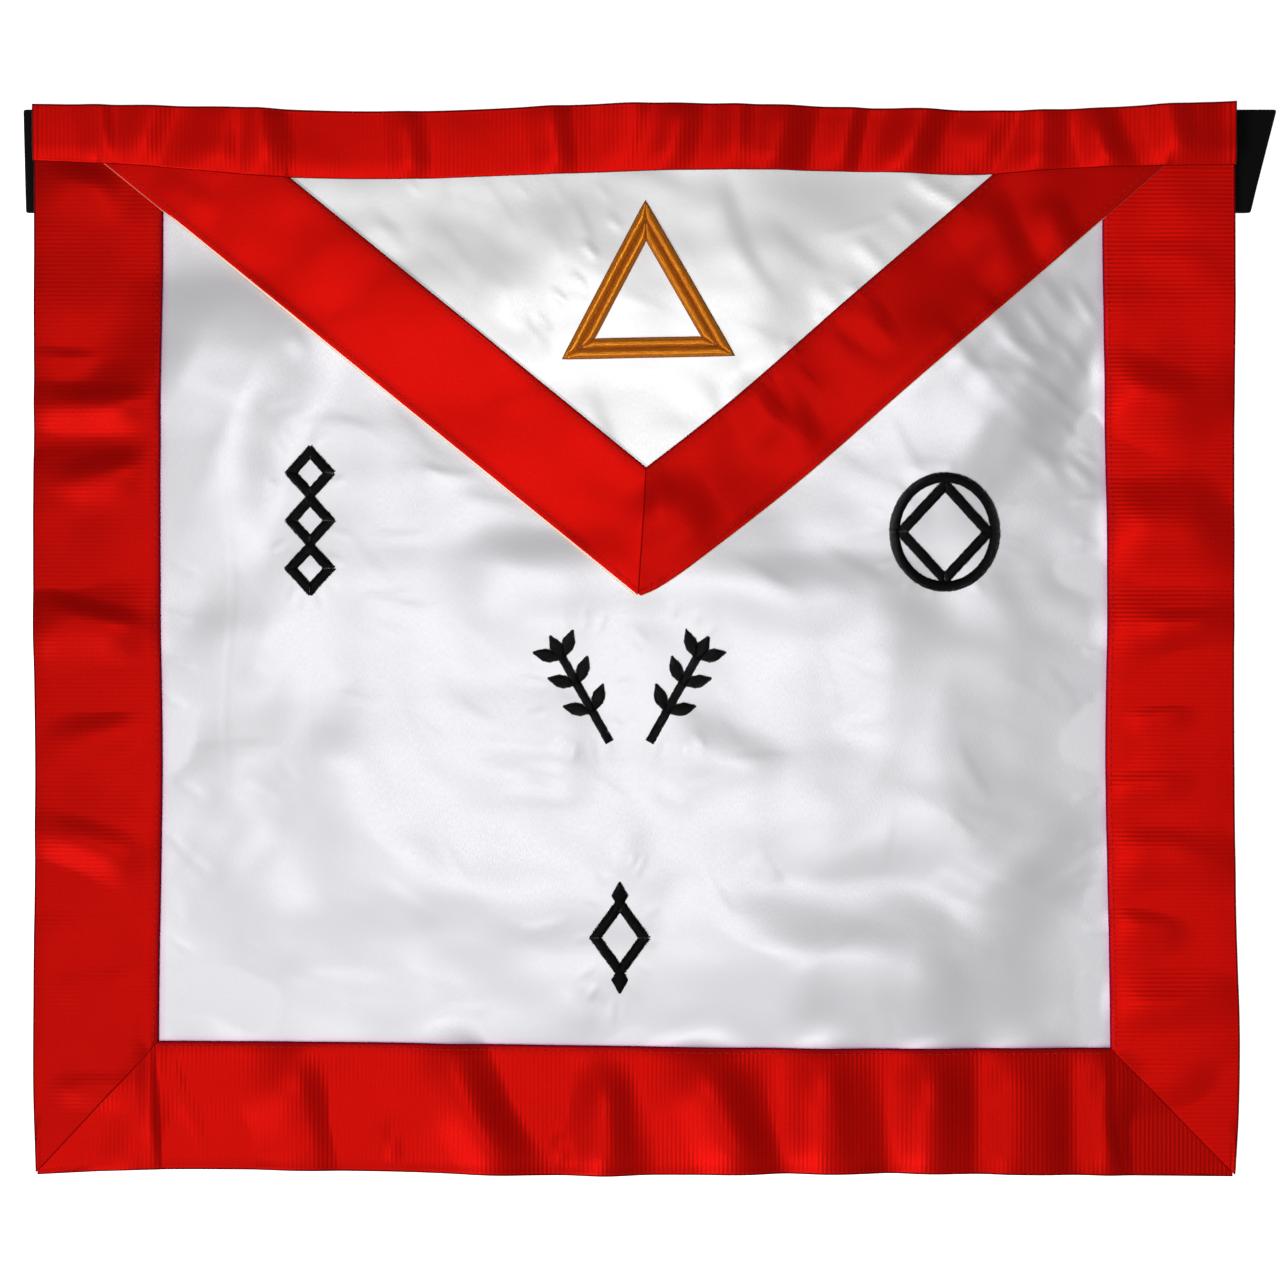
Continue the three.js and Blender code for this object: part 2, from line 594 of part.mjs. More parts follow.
// The gold triangle, sized and placed by the white of the flap: base, height and the depths are shares
// of the depth from the waist band's seam down to where the flap's two ribbons meet.
const flapFieldDepth = waistSeamY(0) - bandMeeting.point.y;
const triangle = {
  base: 0.57 * flapFieldDepth,
  height: 0.516 * flapFieldDepth,
  middle: point(flapTipShift + 0.03 * flapFieldDepth, waistSeamY(0) - 0.36 * flapFieldDepth),
};
function triangleBlock(inset) {
  const slope = Math.hypot(triangle.base / 2, triangle.height);
  const low = -triangle.height / 2 + inset;
  const high = triangle.height / 2 - (inset * slope) / (triangle.base / 2);
  const half = ((high - low) * triangle.base) / 2 / triangle.height;
  const turn = THREE.MathUtils.degToRad(triangleTurn);
  const corners = [point(-half, low), point(half, low), point(0, high)];
  return cutter(corners.map((corner) => corner.rotateAround(point(0, 0), turn)));
}
function goldBand(outerInset) {
  const ring = triangleBlock(outerInset).subtract(triangleBlock(outerInset + triangleBand));
  return stitched(ring, triangle.middle, triangle.base, onFlap);
}

// One half of the belt: sewn under the corner, folded back outside it, then along the surface behind
// the apron and up into the clasp. Each station is the middle of the webbing and the way its upper
// side faces where it is sewn.
function beltStations(reach) {
  const foldRadius = lowerRun / 2;
  const foldX = halfWidth + reach - foldRadius - webbingThickness / 2;
  const foldZ = webbingThickness / 2 + foldRadius;
  const stations = [{ x: halfWidth - beltSewn, z: foldZ + foldRadius, faceX: 0, faceZ: 1 }];
  for (let i = 0; i <= foldSides; i++) {
    const turn = Math.PI / 2 - (Math.PI * i) / foldSides;
    const [faceX, faceZ] = [Math.cos(turn), Math.sin(turn)];
    stations.push({ x: foldX + foldRadius * faceX, z: foldZ + foldRadius * faceZ, faceX, faceZ });
  }
  const flatEnd = claspLength / 2 + claspRamp;
  const pocketEnd = claspLength / 2 - claspPocket + layerGap;
  const [flatZ, pocketZ] = [webbingThickness / 2, claspHeight / 2];
  const run = { faceX: 0, faceZ: -1 };
  for (const x of trace(halfWidth - edgeStep / 2, flatEnd, (x) => x)) {
    stations.push({ x, z: flatZ, ...run });
  }
  for (const share of rampSteps) {
    const z = THREE.MathUtils.lerp(flatZ, pocketZ, ease(share));
    stations.push({ x: flatEnd - share * claspRamp, z, ...run });
  }
  stations.push({ x: pocketEnd, z: pocketZ, ...run });
  return stations;
}

function beltHalf(side, foldReach) {
  const edges = [beltStations(foldReach.top), beltStations(foldReach.bottom)];
  const positions = edges[0].flatMap((_, i) =>
    [0, 1].flatMap((edge) => {
      const { x, z, faceX, faceZ } = edges[edge][i];
      const sag = faceZ < 0 ? beltSag * ease((halfWidth - x) / beltSagRun) : 0;
      const y = beltTop - edge * beltWidth - sag;
      const half = webbingThickness / 2;
      return [side * (x + half * faceX), y, z + half * faceZ, side * (x - half * faceX), y, z - half * faceZ];
    }),
  );
  const triangles = [];
  const quad = (a, b, c, d) =>
    side > 0 ? triangles.push(a, b, c, a, c, d) : triangles.push(a, c, b, a, d, c);
  const [topOut, topIn, lowOut, lowIn] = [0, 1, 2, 3];
  const last = edges[0].length - 1;
  for (let i = 0; i < last; i++) {
    const [here, next] = [4 * i, 4 * (i + 1)];
    quad(here + topOut, here + lowOut, next + lowOut, next + topOut);
    quad(here + lowIn, here + topIn, next + topIn, next + lowIn);
    quad(here + topIn, here + topOut, next + topOut, next + topIn);
    quad(here + lowOut, here + lowIn, next + lowIn, next + lowOut);
  }
  quad(topOut, topIn, lowIn, lowOut);
  quad(4 * last + topOut, 4 * last + lowOut, 4 * last + lowIn, 4 * last + topIn);
  return solid(positions, triangles);
}

function beltClasp() {
  const pocketHeight = webbingThickness + 2 * layerGap;
  const pocket = (side) => {
    const size = [2 * claspPocket, beltWidth + 2 * layerGap, pocketHeight];
    return boxSolid(size, [(side * claspLength) / 2, claspY, claspHeight / 2]);
  };
  const body = boxSolid([claspLength, claspWidth, claspHeight], [0, claspY, claspHeight / 2]);
  return body.subtract(pocket(-1)).subtract(pocket(1));
}

function piece(name, form, material) {
  const { vertProperties, triVerts } = form.getMesh();
  const geometry = new THREE.BufferGeometry();
  geometry.setAttribute('position', new THREE.Float32BufferAttribute(vertProperties, 3));
  geometry.setIndex(new THREE.Uint32BufferAttribute(triVerts, 1));
  geometry.computeVertexNormals();
  const mesh = new THREE.Mesh(geometry, material);
  mesh.name = name;
  return mesh;
}

const apron = new THREE.Group();
apron.add(
  piece('body_panel', cutCloth(apronOutline(turnUnder), ground, satinThickness), satin),
  piece('border_left', sideBorder(-1), ribbon),
  piece('border_right', sideBorder(1), ribbon),
  piece('border_bottom', hemBorder(), ribbon),
  piece('flap_panel', flapPanel(), flapSatin),
  piece('flap_band_left', flapBand(-1), flapRibbon),
  piece('flap_band_right', flapBand(1), flapRibbon),
  piece('waist_band', waistBand(), ribbon),
  piece('gold_triangle_outer', goldBand(0), goldThread),
  piece('gold_triangle_inner', goldBand(triangleBand + layerGap), goldThread),
  ...motifs.map((motif) => piece(motif.name, ornament(motif), blackThread)),
  piece('belt_left', beltHalf(-1, leftFoldReach), webbing),
  piece('belt_right', beltHalf(1, rightFoldReach), webbing),
  piece('belt_clasp', beltClasp(), claspMetal),
);

// The origin goes under the middle of the whole, at the surface that it lies on.
const bounds = new THREE.Box3().setFromObject(apron);
const middle = bounds.getCenter(new THREE.Vector3());
apron.position.set(-middle.x, -middle.y, -bounds.min.z);

const part = new THREE.Group();
part.add(apron);

export default part;
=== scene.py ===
# A masonic apron: white satin, ribbed red ribbon, gold and black embroidery and a webbing belt,
# lying face up and seen from straight above. Metres, +Y towards the waist edge.
import math

import bpy
import numpy as np
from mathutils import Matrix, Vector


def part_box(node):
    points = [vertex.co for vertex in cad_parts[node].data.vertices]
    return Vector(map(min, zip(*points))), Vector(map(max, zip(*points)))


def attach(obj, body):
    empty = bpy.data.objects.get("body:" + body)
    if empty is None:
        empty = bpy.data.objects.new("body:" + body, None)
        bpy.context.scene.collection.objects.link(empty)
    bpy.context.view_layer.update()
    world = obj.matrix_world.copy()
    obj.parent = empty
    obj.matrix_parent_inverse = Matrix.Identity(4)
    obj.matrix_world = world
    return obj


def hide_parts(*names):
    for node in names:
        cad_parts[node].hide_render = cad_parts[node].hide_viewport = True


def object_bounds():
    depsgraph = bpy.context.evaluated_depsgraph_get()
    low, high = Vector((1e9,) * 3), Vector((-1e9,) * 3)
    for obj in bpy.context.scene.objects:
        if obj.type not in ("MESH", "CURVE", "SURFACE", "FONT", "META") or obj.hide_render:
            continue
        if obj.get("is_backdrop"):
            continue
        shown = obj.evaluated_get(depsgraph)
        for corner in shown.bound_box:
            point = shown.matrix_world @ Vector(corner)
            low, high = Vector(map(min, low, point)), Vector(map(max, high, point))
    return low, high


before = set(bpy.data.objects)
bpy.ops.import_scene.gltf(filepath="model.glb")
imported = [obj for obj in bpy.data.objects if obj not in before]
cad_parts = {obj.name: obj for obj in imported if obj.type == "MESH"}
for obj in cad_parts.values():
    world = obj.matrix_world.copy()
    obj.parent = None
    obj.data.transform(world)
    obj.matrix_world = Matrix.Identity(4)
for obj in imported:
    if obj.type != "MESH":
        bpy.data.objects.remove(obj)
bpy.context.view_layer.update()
print("frame loaded:", len(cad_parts), "nodes")

apron = {
    "width": 0.4,
    "height": 0.3565,
    "border": 0.0425,
    "waistBand": 0.0213,
    "wander": 0.003,  # the most that a hand-sewn edge strays from its line
    "turnUnder": 0.0008,
    "gap": 0.0003,
    "satin": 0.0012,
    "ribbon": 0.001,
    "flapCloth": 0.001,
}
flap = {
    "drop": 0.164,
    "tipShift": 0.001,
    "bow": 0.0045,
    "ribbon": 0.0347,
    "rim": 0.0006,
    "shownRim": (0.0006, 0.00025),  # left and right
    "rimOverBorder": 0.0002,
    "rimRun": 0.006,  # over what distance the rim changes at a border
    "hiddenEnd": 0.011,  # how far the flap's ribbons reach under the waist band
}
belt = {
    "width": 0.0342,
    "thick": 0.0014,
    "inset": 0.0017,
    "sag": 0.004,
    "sagRun": 0.06,
    "sewn": 0.032,
    "leftFold": (0.0036, 0.0027),  # how far the fold shows, at its top and at its bottom
    "rightFold": (0.0135, 0.0049),
    "claspLength": 0.034,
    "claspPocket": 0.012,
    "claspSkin": 0.0007,
    "claspCheek": 0.0016,
    "claspRamp": 0.016,
}
drape = {
    "foldRise": 0.0022,
    "foldEnds": 1.6,
    "waistFoldRise": 0.0012,
    "beltRamp": 0.046,
    "levelRamp": 0.04,
    "liftRamp": 0.026,
    "clear": 0.0181,  # flat stretch kept beside anything that lifts the cloth
    "crown": 0.0012,  # how much the satin rises between its seams
    "crownRun": 0.045,
    "stray": (0.07, 0.0024),  # wave length and reach by which a wrinkle wanders off its line
    "wrinkleEnds": 1.3,
    "bodyWaves": [(3, 0.05, 0.0003), (8, 0.022, 0.00008)],  # seed, wave length and rise
    "flapWaves": [(5, 0.03, 0.00012)],
}
halfWidth = apron["width"] / 2
halfHeight = apron["height"] / 2
# The white satin between the borders
fieldWidth = apron["width"] - 2 * apron["border"]
fieldHeight = apron["height"] - apron["border"] - apron["waistBand"]
fieldMiddle = (apron["border"] - apron["waistBand"]) / 2

# Each edge: share of the way along it, and share of wander by which it comes inwards there
edges = {
    "top": [(0, 0.25), (0.14, 0.55), (0.28, 1), (0.4, 0.65), (0.5, 0.12), (0.62, 0.35), (0.72, 0.72),
            (0.82, 1), (0.91, 0.5), (1, -0.1)],
    "hem": [(0, 0.2), (0.1, 0.75), (0.28, 0.55), (0.45, 0.1), (0.6, 0.28), (0.75, 0.35), (0.9, 0.1), (1, 0)],
    "left": [(0, 0.2), (0.2, 0.15), (0.42, -0.1), (0.65, 0.15), (0.9, -0.1), (1, 0.2)],
    "right": [(0, 0.3), (0.3, 0.2), (0.6, 0.2), (0.75, 0), (0.87, -0.4), (0.94, -0.3), (1, 0.1)],
    "leftSeam": [(0, 0.45), (0.2, 0.22), (0.44, -0.12), (0.62, 0.1), (0.85, -0.3), (1, -0.2)],
    "rightSeam": [(0, 0.9), (0.16, 0.75), (0.3, 0.4), (0.45, 0.12), (0.62, 0.32), (0.8, -0.1), (1, -0.35)],
    "hemSeam": [(0, 0.9), (0.25, 0.75), (0.45, 0.35), (0.62, 0.1), (1, 0.1)],
    "waistSeam": [(0, -0.67), (0.09, -0.05), (0.2, 1.15), (0.3, 1.33), (0.42, 0.9), (0.55, 0.36), (0.7, 0.55),
                  (0.78, 0.9), (0.87, 0.22), (1, -0.2)],
    "flapBow": [(0, 0), (0.03, -0.46), (0.09, -0.75), (0.26, -1), (0.45, -0.7), (0.65, -0.5), (0.8, -0.28),
                (1, 0)],
}

# Folds: middle x and y, direction in degrees, half length, half width, rise. The lengths are shares of
# the apron's width (y of its height) and the rise is a share of the table's own height.
bodyFolds = [
    (-0.411, -0.45, 75, 0.07, 0.032, 0.6),
    (-0.291, -0.45, 92, 0.07, 0.038, 0.6),
    (-0.135, -0.435, 114, 0.08, 0.036, 0.9),
    (-0.03, -0.455, 90, 0.065, 0.032, 0.6),
    (0.07, -0.445, 112, 0.075, 0.036, 0.8),
    (0.149, -0.445, 92, 0.07, 0.034, 0.9),
    (0.238, -0.445, 90, 0.07, 0.032, 0.9),
    (0.307, -0.45, 90, 0.07, 0.03, 0.7),
    (0.389, -0.45, 88, 0.07, 0.032, 0.9),
    (-0.457, 0.224, 3, 0.07, 0.034, 0.9),
    (-0.457, 0.159, -4, 0.06, 0.03, 0.5),
    (-0.457, 0.012, 2, 0.07, 0.042, 0.8),
    (-0.457, -0.175, -3, 0.07, 0.04, 0.5),
    (0.446, 0.229, 4, 0.07, 0.048, 0.8),
    (0.446, 0.098, -5, 0.07, 0.048, 0.7),
    (0.446, 0.017, 3, 0.07, 0.034, 0.6),
    (0.446, -0.205, -3, 0.07, 0.038, 0.6),
    (0.446, -0.335, 3, 0.07, 0.032, 0.6),
    (-0.079, -0.246, -10, 0.14, 0.04, 0.28),
    (0.174, -0.309, -13, 0.19, 0.05, 0.32),
    (0.046, 0.061, -5, 0.22, 0.045, 0.32),
    (-0.328, 0.238, 2, 0.08, 0.045, 0.2),
    (-0.295, -0.109, -2, 0.09, 0.035, 0.16),
    (0.316, 0.22, 14, 0.07, 0.045, 0.2),
    (0.332, 0.038, -4, 0.08, 0.04, 0.2),
    (-0.061, -0.116, 92, 0.07, 0.034, 0.2),
    (0.07, -0.107, -15, 0.06, 0.03, 0.2),
]
waistFolds = [
    (-0.43, 0.47, 90, 0.08, 0.04, 0.6),
    (-0.31, 0.47, 84, 0.08, 0.04, 0.9),
    (-0.2, 0.47, 90, 0.08, 0.045, 0.7),
    (-0.07, 0.47, 96, 0.08, 0.045, 0.8),
    (0.09, 0.47, 90, 0.08, 0.05, 0.6),
    (0.22, 0.47, 86, 0.08, 0.04, 0.9),
    (0.33, 0.47, 90, 0.08, 0.035, 1),
    (0.44, 0.47, 92, 0.08, 0.04, 0.7),
]
# Wrinkles, in millimetres and degrees: x and y on the crest, direction, half length, width of the lit
# flank and of the shaded one on the left of that direction, and rise. Below zero it is a valley.
bodyWrinkles = [
    (-160.2, -151.5, -84, 32, 4.8, 3.4, 1.13),
    (-147.6, -156, -68, 30.7, 6.4, 3.8, 0.62),
    (-111.7, -162.9, -82, 30.7, 23.9, 13, 2.29),
    (-81, -166, -88, 7.3, 5.6, 4.6, 0.74),
    (-52.5, -163.8, -56, 43, 31.9, 18.3, 3.5),
    (-23.5, -169.3, -75, 7.3, 4.8, 5.3, 1.18),
    (-8, -164.2, -86, 32, 15.9, 15.3, 3.14),
    (27.3, -161.6, -70, 38.1, 29.9, 17.6, 3.61),
    (69.1, -161.4, -72, 38.1, 23.9, 17.6, 3.87),
    (102.6, -162.9, -84, 35.6, 17.9, 17.6, 3.87),
    (132.1, -162.3, -88, 35.6, 19.9, 16.8, 3.45),
    (157.8, -157.1, -88, 30.7, 6.4, 5.3, 0.98),
    (-186.4, 148, -5, 19.1, 12, 8.8, 1.9),
    (-187.6, 96.3, 3, 13.4, 8, 5.1, 0.8),
    (-179.7, 78.8, -3, 22.9, 15.9, 10.2, 2.13),
    (-178.4, 53.3, 12, 21, 13.6, 9.5, 1.65),
    (-179.7, 6.8, -4, 22.9, 15.9, 7.3, 1.65),
    (-178.8, -28.8, 8, 19.1, 12, 8.8, 1.22),
    (-180.7, -68.9, -14, 22.9, 15.9, 11, 1.9),
    (-179.4, -114.5, 0, 19.1, 12, 8, 0.7),
    (-177.7, -149, 0, 17.2, 9.6, 7.3, 0.89),
    (176.1, 129.4, 0, 19.1, 12, 7.3, 0.49),
    (172.8, 80.4, -28, 26.7, 19.9, 13.9, 2.22),
    (176.8, 39.7, 5, 21, 19.9, 16.1, 2.14),
    (182.6, 8.2, -3, 15.3, 9.6, 5.8, 1.09),
    (174.6, -23.4, 3, 19.1, 11.2, 7.3, 0.88),
    (171.1, -50.3, 0, 17.2, 10.4, 6.6, 0.7),
    (174.4, -71.6, 0, 19.1, 11.2, 7.3, 0.78),
    (169.4, -93.8, 0, 16, 10.4, 5.8, 1.01),
    (174.4, -117.4, 0, 17.2, 10.4, 5.8, 0.51),
    (175.3, -146.2, -8, 21, 14, 11.7, 1.01),
    (-36.6, 19.9, -12, 34.9, 36.5, 16.6, 1),
    (-76.8, 61.9, -38, 36.5, 19.9, 12, 0.36),
    (67.8, 13.5, 2, 39.9, 36.5, 19.9, 1.79),
    (114.4, 86.5, -48, 36.5, 66.4, 49.8, 3.74),
    (119.8, 106.8, -46.2, 14.1, 6, 4, 0.24),
    (128, 96.8, -43, 12.5, 4.7, 3.7, 0.23),
    (135.1, 104.7, -51.8, 14.1, 4.7, 3.7, 0.25),
    (132.6, 85.7, -39, 15.8, 4.7, 4, 0.27),
    (142.2, 79.2, -36.6, 12.5, 4, 3.3, 0.25),
    (145.8, 94.9, -55, 12.5, 4, 3.3, 0.2),
    (125.9, 75.1, -41, 12.5, 4.7, 4, 0.2),
    (113.4, 87.8, -52.6, 14.1, 6, 4.7, 0.2),
    (147, 67.9, -31.8, 10.8, 4, 3.3, 0.23),
    (106.1, 96.8, -53, 14.1, 6.6, 4.7, 0.2),
    (151.2, 112.3, -58.2, 10.8, 3.3, 3, 0.2),
    (140.1, 115.5, -49.4, 10.8, 4, 3, 0.15),
    (148.4, 55.4, -41, 10.8, 4, 3.3, 0.2),
    (133.2, 61.4, -35, 14.1, 5.3, 4.7, 0.24),
    (75.8, -56.3, -60, 33.2, 66.4, 39.9, 1.4),
    (74.7, -109.1, -13, 66.4, 63.1, 29.9, 3.59),
    (114.6, -66.9, -30, 39.9, 53.2, 39.9, 1.79),
    (0.3, -79.7, -30, 21.9, 26.6, 18.6, 0.47),
    (25.9, -77.7, -50, 23.3, 26.6, 19.9, 0.5),
    (-83.1, -64.1, -42, 43.2, 39.9, 29.9, 1.5),
    (-86.3, -35.7, -5, 26.6, 26.6, 13.3, 0.33),
    (-74.1, -117.8, -85, 19.9, 19.9, 15.3, 0.53),
    (-135.2, -39, 0, 24.9, 13.3, 5.3, 0.16),
    (-131.5, 3.5, -20, 19.3, 29.9, 21.3, 0.64),
    (-142.7, 80.4, -25, 41.5, 73.1, 46.5, 4.65),
    (95.6, -11.2, -12, 36.5, 36.5, 23.3, 1.28),
    (28.3, -43.9, -10, 36.5, 29.9, 18.6, 0.56),
    (-48.7, 41.2, -35, 19.9, 16.6, 13.3, 0.33),
    (16, -26, -20, 19.9, 23.3, 13.3, 0.33),
    (-26.5, -111.9, -15, 19.9, 26.6, 12, 0.24),
    (117, -74.7, -40, 19.9, 23.3, 13.3, 0.33),
    (-136.5, 6.8, -90, 83.1, 1.3, 1.3, -0.05),
    (-107.6, -19.8, -90, 36.5, 1.3, 1.3, -0.03),
    (-150, -5.8, -28, 7.3, 2.7, 2.3, 0.16),
    (-151.7, -20.6, -35, 6.6, 2.3, 2, 0.14),
    (-148.6, -50.6, -40, 8.3, 2.7, 2.3, 0.14),
    (-152.5, -67, -45, 6, 2.3, 2, 0.14),
    (-145.3, -73.8, -40, 7.3, 2.7, 2.3, 0.12),
    (-152.9, -88.6, -30, 5.3, 2, 1.7, 0.12),
    (-150.9, 25.8, -25, 6.6, 2.3, 2, 0.1),
    (-151.7, 10.9, -30, 6, 2, 2, 0.12),
    (-152.4, -35.5, -38, 6.6, 2.3, 2, 0.12),
    (-149.7, -100.4, -30, 6, 2.3, 2, 0.1),
    (150.7, 60.8, -30.2, 7.5, 2.7, 2, 0.12),
    (150.6, 45.7, 4, 6.6, 2.7, 2, 0.14),
    (151.7, 32.4, -10, 5.3, 2.3, 2, 0.14),
    (149.8, 20.8, -3, 6.6, 2.7, 2, 0.14),
    (151.3, -0.8, 6, 5.6, 2.3, 2, 0.14),
    (150.1, -17.4, -6, 6.6, 2.7, 2, 0.14),
    (151.5, -30.7, 0, 5.3, 2.3, 2, 0.14),
    (150.6, -50.7, 8, 6.3, 2.7, 2, 0.14),
    (151, -67.3, -9, 5.6, 2.3, 2, 0.14),
    (150.2, -80.6, 2, 6.6, 2.7, 2, 0.14),
    (151.1, -97.2, -4, 5.6, 2.3, 2, 0.14),
    (150, -112.1, 7, 6.3, 2.7, 2, 0.14),
]
flapWrinkles = [
    (-84.8, 134.2, -50, 15, 6.6, 4.7, 0.23),
    (-46.8, 143.5, -58, 18.3, 7.3, 4.7, 0.26),
    (-61.6, 126.6, -50, 15, 6.6, 4.7, 0.2),
    (-16.4, 140.6, -62, 13.3, 5.3, 3.3, 0.19),
    (31.3, 136.4, -65, 19.9, 13.3, 8, 0.56),
    (52.8, 131.3, -50, 16.6, 11.3, 5.3, 0.26),
    (98.6, 148.7, -48, 10.6, 4.7, 3, 0.31),
    (105.4, 143.7, -45, 8.6, 4, 2.7, 0.31),
    (109.7, 152.9, -50, 6, 3, 2.3, 0.24),
    (90.1, 140.3, -50, 10, 4.7, 3.3, 0.22),
    (76.4, 128.6, -55, 12, 6, 4, 0.28),
    (63.1, 112.1, -60, 12, 6, 4, 0.22),
    (-33.2, 101.5, -45, 13.3, 6.6, 4.7, 0.2),
    (18.4, 78.2, -62, 16.6, 10, 7.3, 0.36),
    (-10.8, 72.3, -70, 13.3, 8, 5.3, 0.19),
    (-3.6, 138.5, -48, 5.3, 2.3, 1.7, 0.19),
    (-12.4, 130.1, -47, 6, 2.7, 2, 0.28),
    (-16.3, 119, -42, 5.3, 2.3, 2, 0.25),
    (-23.6, 113.7, -40, 5.6, 2.7, 2, 0.25),
    (-29.5, 106.3, -36, 5.3, 2.7, 2, 0.17),
    (-75.4, 150.5, -50, 4.7, 2.3, 1.7, 0.12),
    (-62.1, 149.9, -55, 5, 2.3, 1.7, 0.12),
    (-38.8, 150.5, -50, 4.7, 2.3, 1.7, 0.12),
    (-25.6, 150.6, -60, 5, 2.3, 1.7, 0.12),
    (-8.9, 149.8, -50, 5.3, 2.3, 1.7, 0.12),
    (60.6, 106.6, -55, 4.7, 2.3, 2, 0.17),
    (70.6, 115.2, -52, 4.7, 2.3, 2, 0.17),
    (50.7, 97.5, -50, 4.7, 2.3, 2, 0.17),
    (40.7, 88.6, -52, 4.7, 2.3, 2, 0.14),
    (32.5, 81.9, -50, 4.7, 2.3, 2, 0.14),
    (13.2, 40.7, -50, 16.6, 19.9, 13.3, 1.49),
    (38.8, 76.9, -55, 17.9, 14.6, 10.6, 1.04),
    (54.6, 68.9, -50, 13.3, 12, 9.3, 0.85),
    (6.6, 48.3, -88, 11.3, 5.3, 4.7, 0.59),
    (119.8, 132.7, -58, 17.9, 14.6, 11.3, 1.42),
    (140.3, 137.1, -66, 13.3, 12, 9.3, 0.91),
    (78.9, 101.4, -55, 13.3, 8.6, 6, 0.5),
    (-146.7, 147.1, -40, 13.3, 10, 6.6, 0.56),
    (-109.5, 135.8, -48, 29.9, 39.9, 26.6, 1.49),
    (81.8, 136.9, -52, 26.6, 19.9, 19.9, 0.74),
]
waistWrinkles = [
    (-177.2, 170.3, -79.6, 20.6, 12, 7, 1.49),
    (-159.7, 171.6, -103, 20.6, 13, 9.3, 2.11),
    (-136.3, 168.9, -97.8, 20.6, 13, 9, 1.79),
    (-122.6, 168.9, -77, 20.6, 10, 9.6, 2.18),
    (-75.9, 165.3, -90, 20.6, 10, 9, 1.67),
    (-28.9, 167.2, -74.4, 20.6, 10, 8.3, 1.66),
    (-1.8, 171.6, -90, 20.6, 14, 9.6, 1.67),
    (11.9, 166.5, -100.4, 20.6, 11, 10.3, 2.06),
    (33.9, 169.6, -90, 20.6, 10, 8.6, 1.5),
    (49, 166.1, -103, 20.6, 13, 10.6, 2.41),
    (71.6, 172.2, -105.6, 20.6, 11, 7.3, 1.85),
    (96, 169.7, -110.8, 20.6, 13, 10, 2.52),
    (115.4, 168.7, -105.6, 20.6, 14, 8, 1.81),
    (132.7, 167.3, -90, 20.6, 10, 10.3, 1.1),
    (156.5, 163.2, -69.2, 20.6, 10, 10, 2.66),
    (179.6, 169.4, -79.6, 20.6, 10, 9.6, 1.93),
    (189.4, 166.3, -90, 20.6, 13, 8.6, 1.15),
]
# Crumpled spots in millimetres: x and y, reach, wave length and rise
crumpledSpots = [
    (134, 96, 36, 15, 0.13),
    (140, 20, 24, 16, 0.1),
    (-138, -60, 26, 15, 0.09),
    (30, 75, 40, 20, 0.08),
    (142, -80, 26, 14, 0.09),
]
# Where tight stitches pucker the satin: middle and half size of each motif in millimetres
motifSpots = [
    (-108, 39.9, 8.7, 25.5),
    (103, 36.1, 18.4, 19.8),
    (-18.1, -14.1, 13, 19.8),
    (14.5, -14.1, 13, 19.8),
    (-5, -98.9, 10.2, 19),
]
pucker = {"count": 14, "past": 2.6, "sway": 12, "length": (3, 5.5), "lit": 2.1, "shaded": 1.6,
          "rise": (0.05, 0.12)}
dice = np.random.RandomState(12)
for spotX, spotY, halfX, halfY in motifSpots:
    for around in np.linspace(0, 360, pucker["count"], endpoint=False):
        turn = math.radians(around + dice.uniform(-pucker["sway"], pucker["sway"]))
        x = spotX + (halfX + pucker["past"]) * math.cos(turn)
        y = spotY + (halfY + pucker["past"]) * math.sin(turn)
        bodyWrinkles.append((x, y, math.degrees(turn), dice.uniform(*pucker["length"]), pucker["lit"],
                             pucker["shaded"], dice.uniform(*pucker["rise"])))
# Faint small creases all over the satin
scatter = np.random.RandomState(31)
for wrinkles, count, (left, right, low, high) in [(bodyWrinkles, 120, (-150, 150, -125, 110)),
                                                  (flapWrinkles, 34, (-95, 95, 70, 152))]:
    for _ in range(count):
        breadth = scatter.uniform(1.8, 5)
        wrinkles.append((scatter.uniform(left, right), scatter.uniform(low, high), scatter.normal(-28, 22),
                         scatter.uniform(7, 20), breadth * scatter.uniform(1.3, 2.5), breadth,
                         breadth * scatter.uniform(0.015, 0.04)))


def ease(t):
    t = np.clip(t, 0, 1)
    return t * t * (3 - 2 * t)


# The value of an edge's table at a share of the way along, on a smooth curve through its rows
def follow(table, share):
    places = np.array([row[0] for row in table], float)
    values = np.array([row[1] for row in table], float)
    order = np.arange(len(table))
    before = np.maximum(order - 1, 0)
    after = np.minimum(order + 1, len(table) - 1)
    slopes = (values[after] - values[before]) / (places[after] - places[before])
    at = np.clip(share, 0, 1)
    i = np.clip(np.searchsorted(places, at, side="right") - 1, 0, len(table) - 2)
    run = places[i + 1] - places[i]
    t = (at - places[i]) / run
    ends = values[i] * (1 - t) ** 2 * (1 + 2 * t) + values[i + 1] * t**2 * (3 - 2 * t)
    return ends + run * (slopes[i] * t * (1 - t) ** 2 - slopes[i + 1] * t**2 * (1 - t))


def inward(edge, share):
    return apron["wander"] * follow(edges[edge], share)


def topY(x):
    return halfHeight - inward("top", x / apron["width"] + 0.5)


def hemY(x):
    return -halfHeight + inward("hem", x / apron["width"] + 0.5)


def leftX(y):
    return -halfWidth + inward("left", 0.5 - y / apron["height"])


def rightX(y):
    return halfWidth - inward("right", 0.5 - y / apron["height"])


def leftSeamX(y):
    return -halfWidth + apron["border"] + inward("leftSeam", 0.5 - y / apron["height"])


def rightSeamX(y):
    return halfWidth - apron["border"] - inward("rightSeam", 0.5 - y / apron["height"])


def hemSeamY(x):
    return -halfHeight + apron["border"] + inward("hemSeam", x / apron["width"] + 0.5)


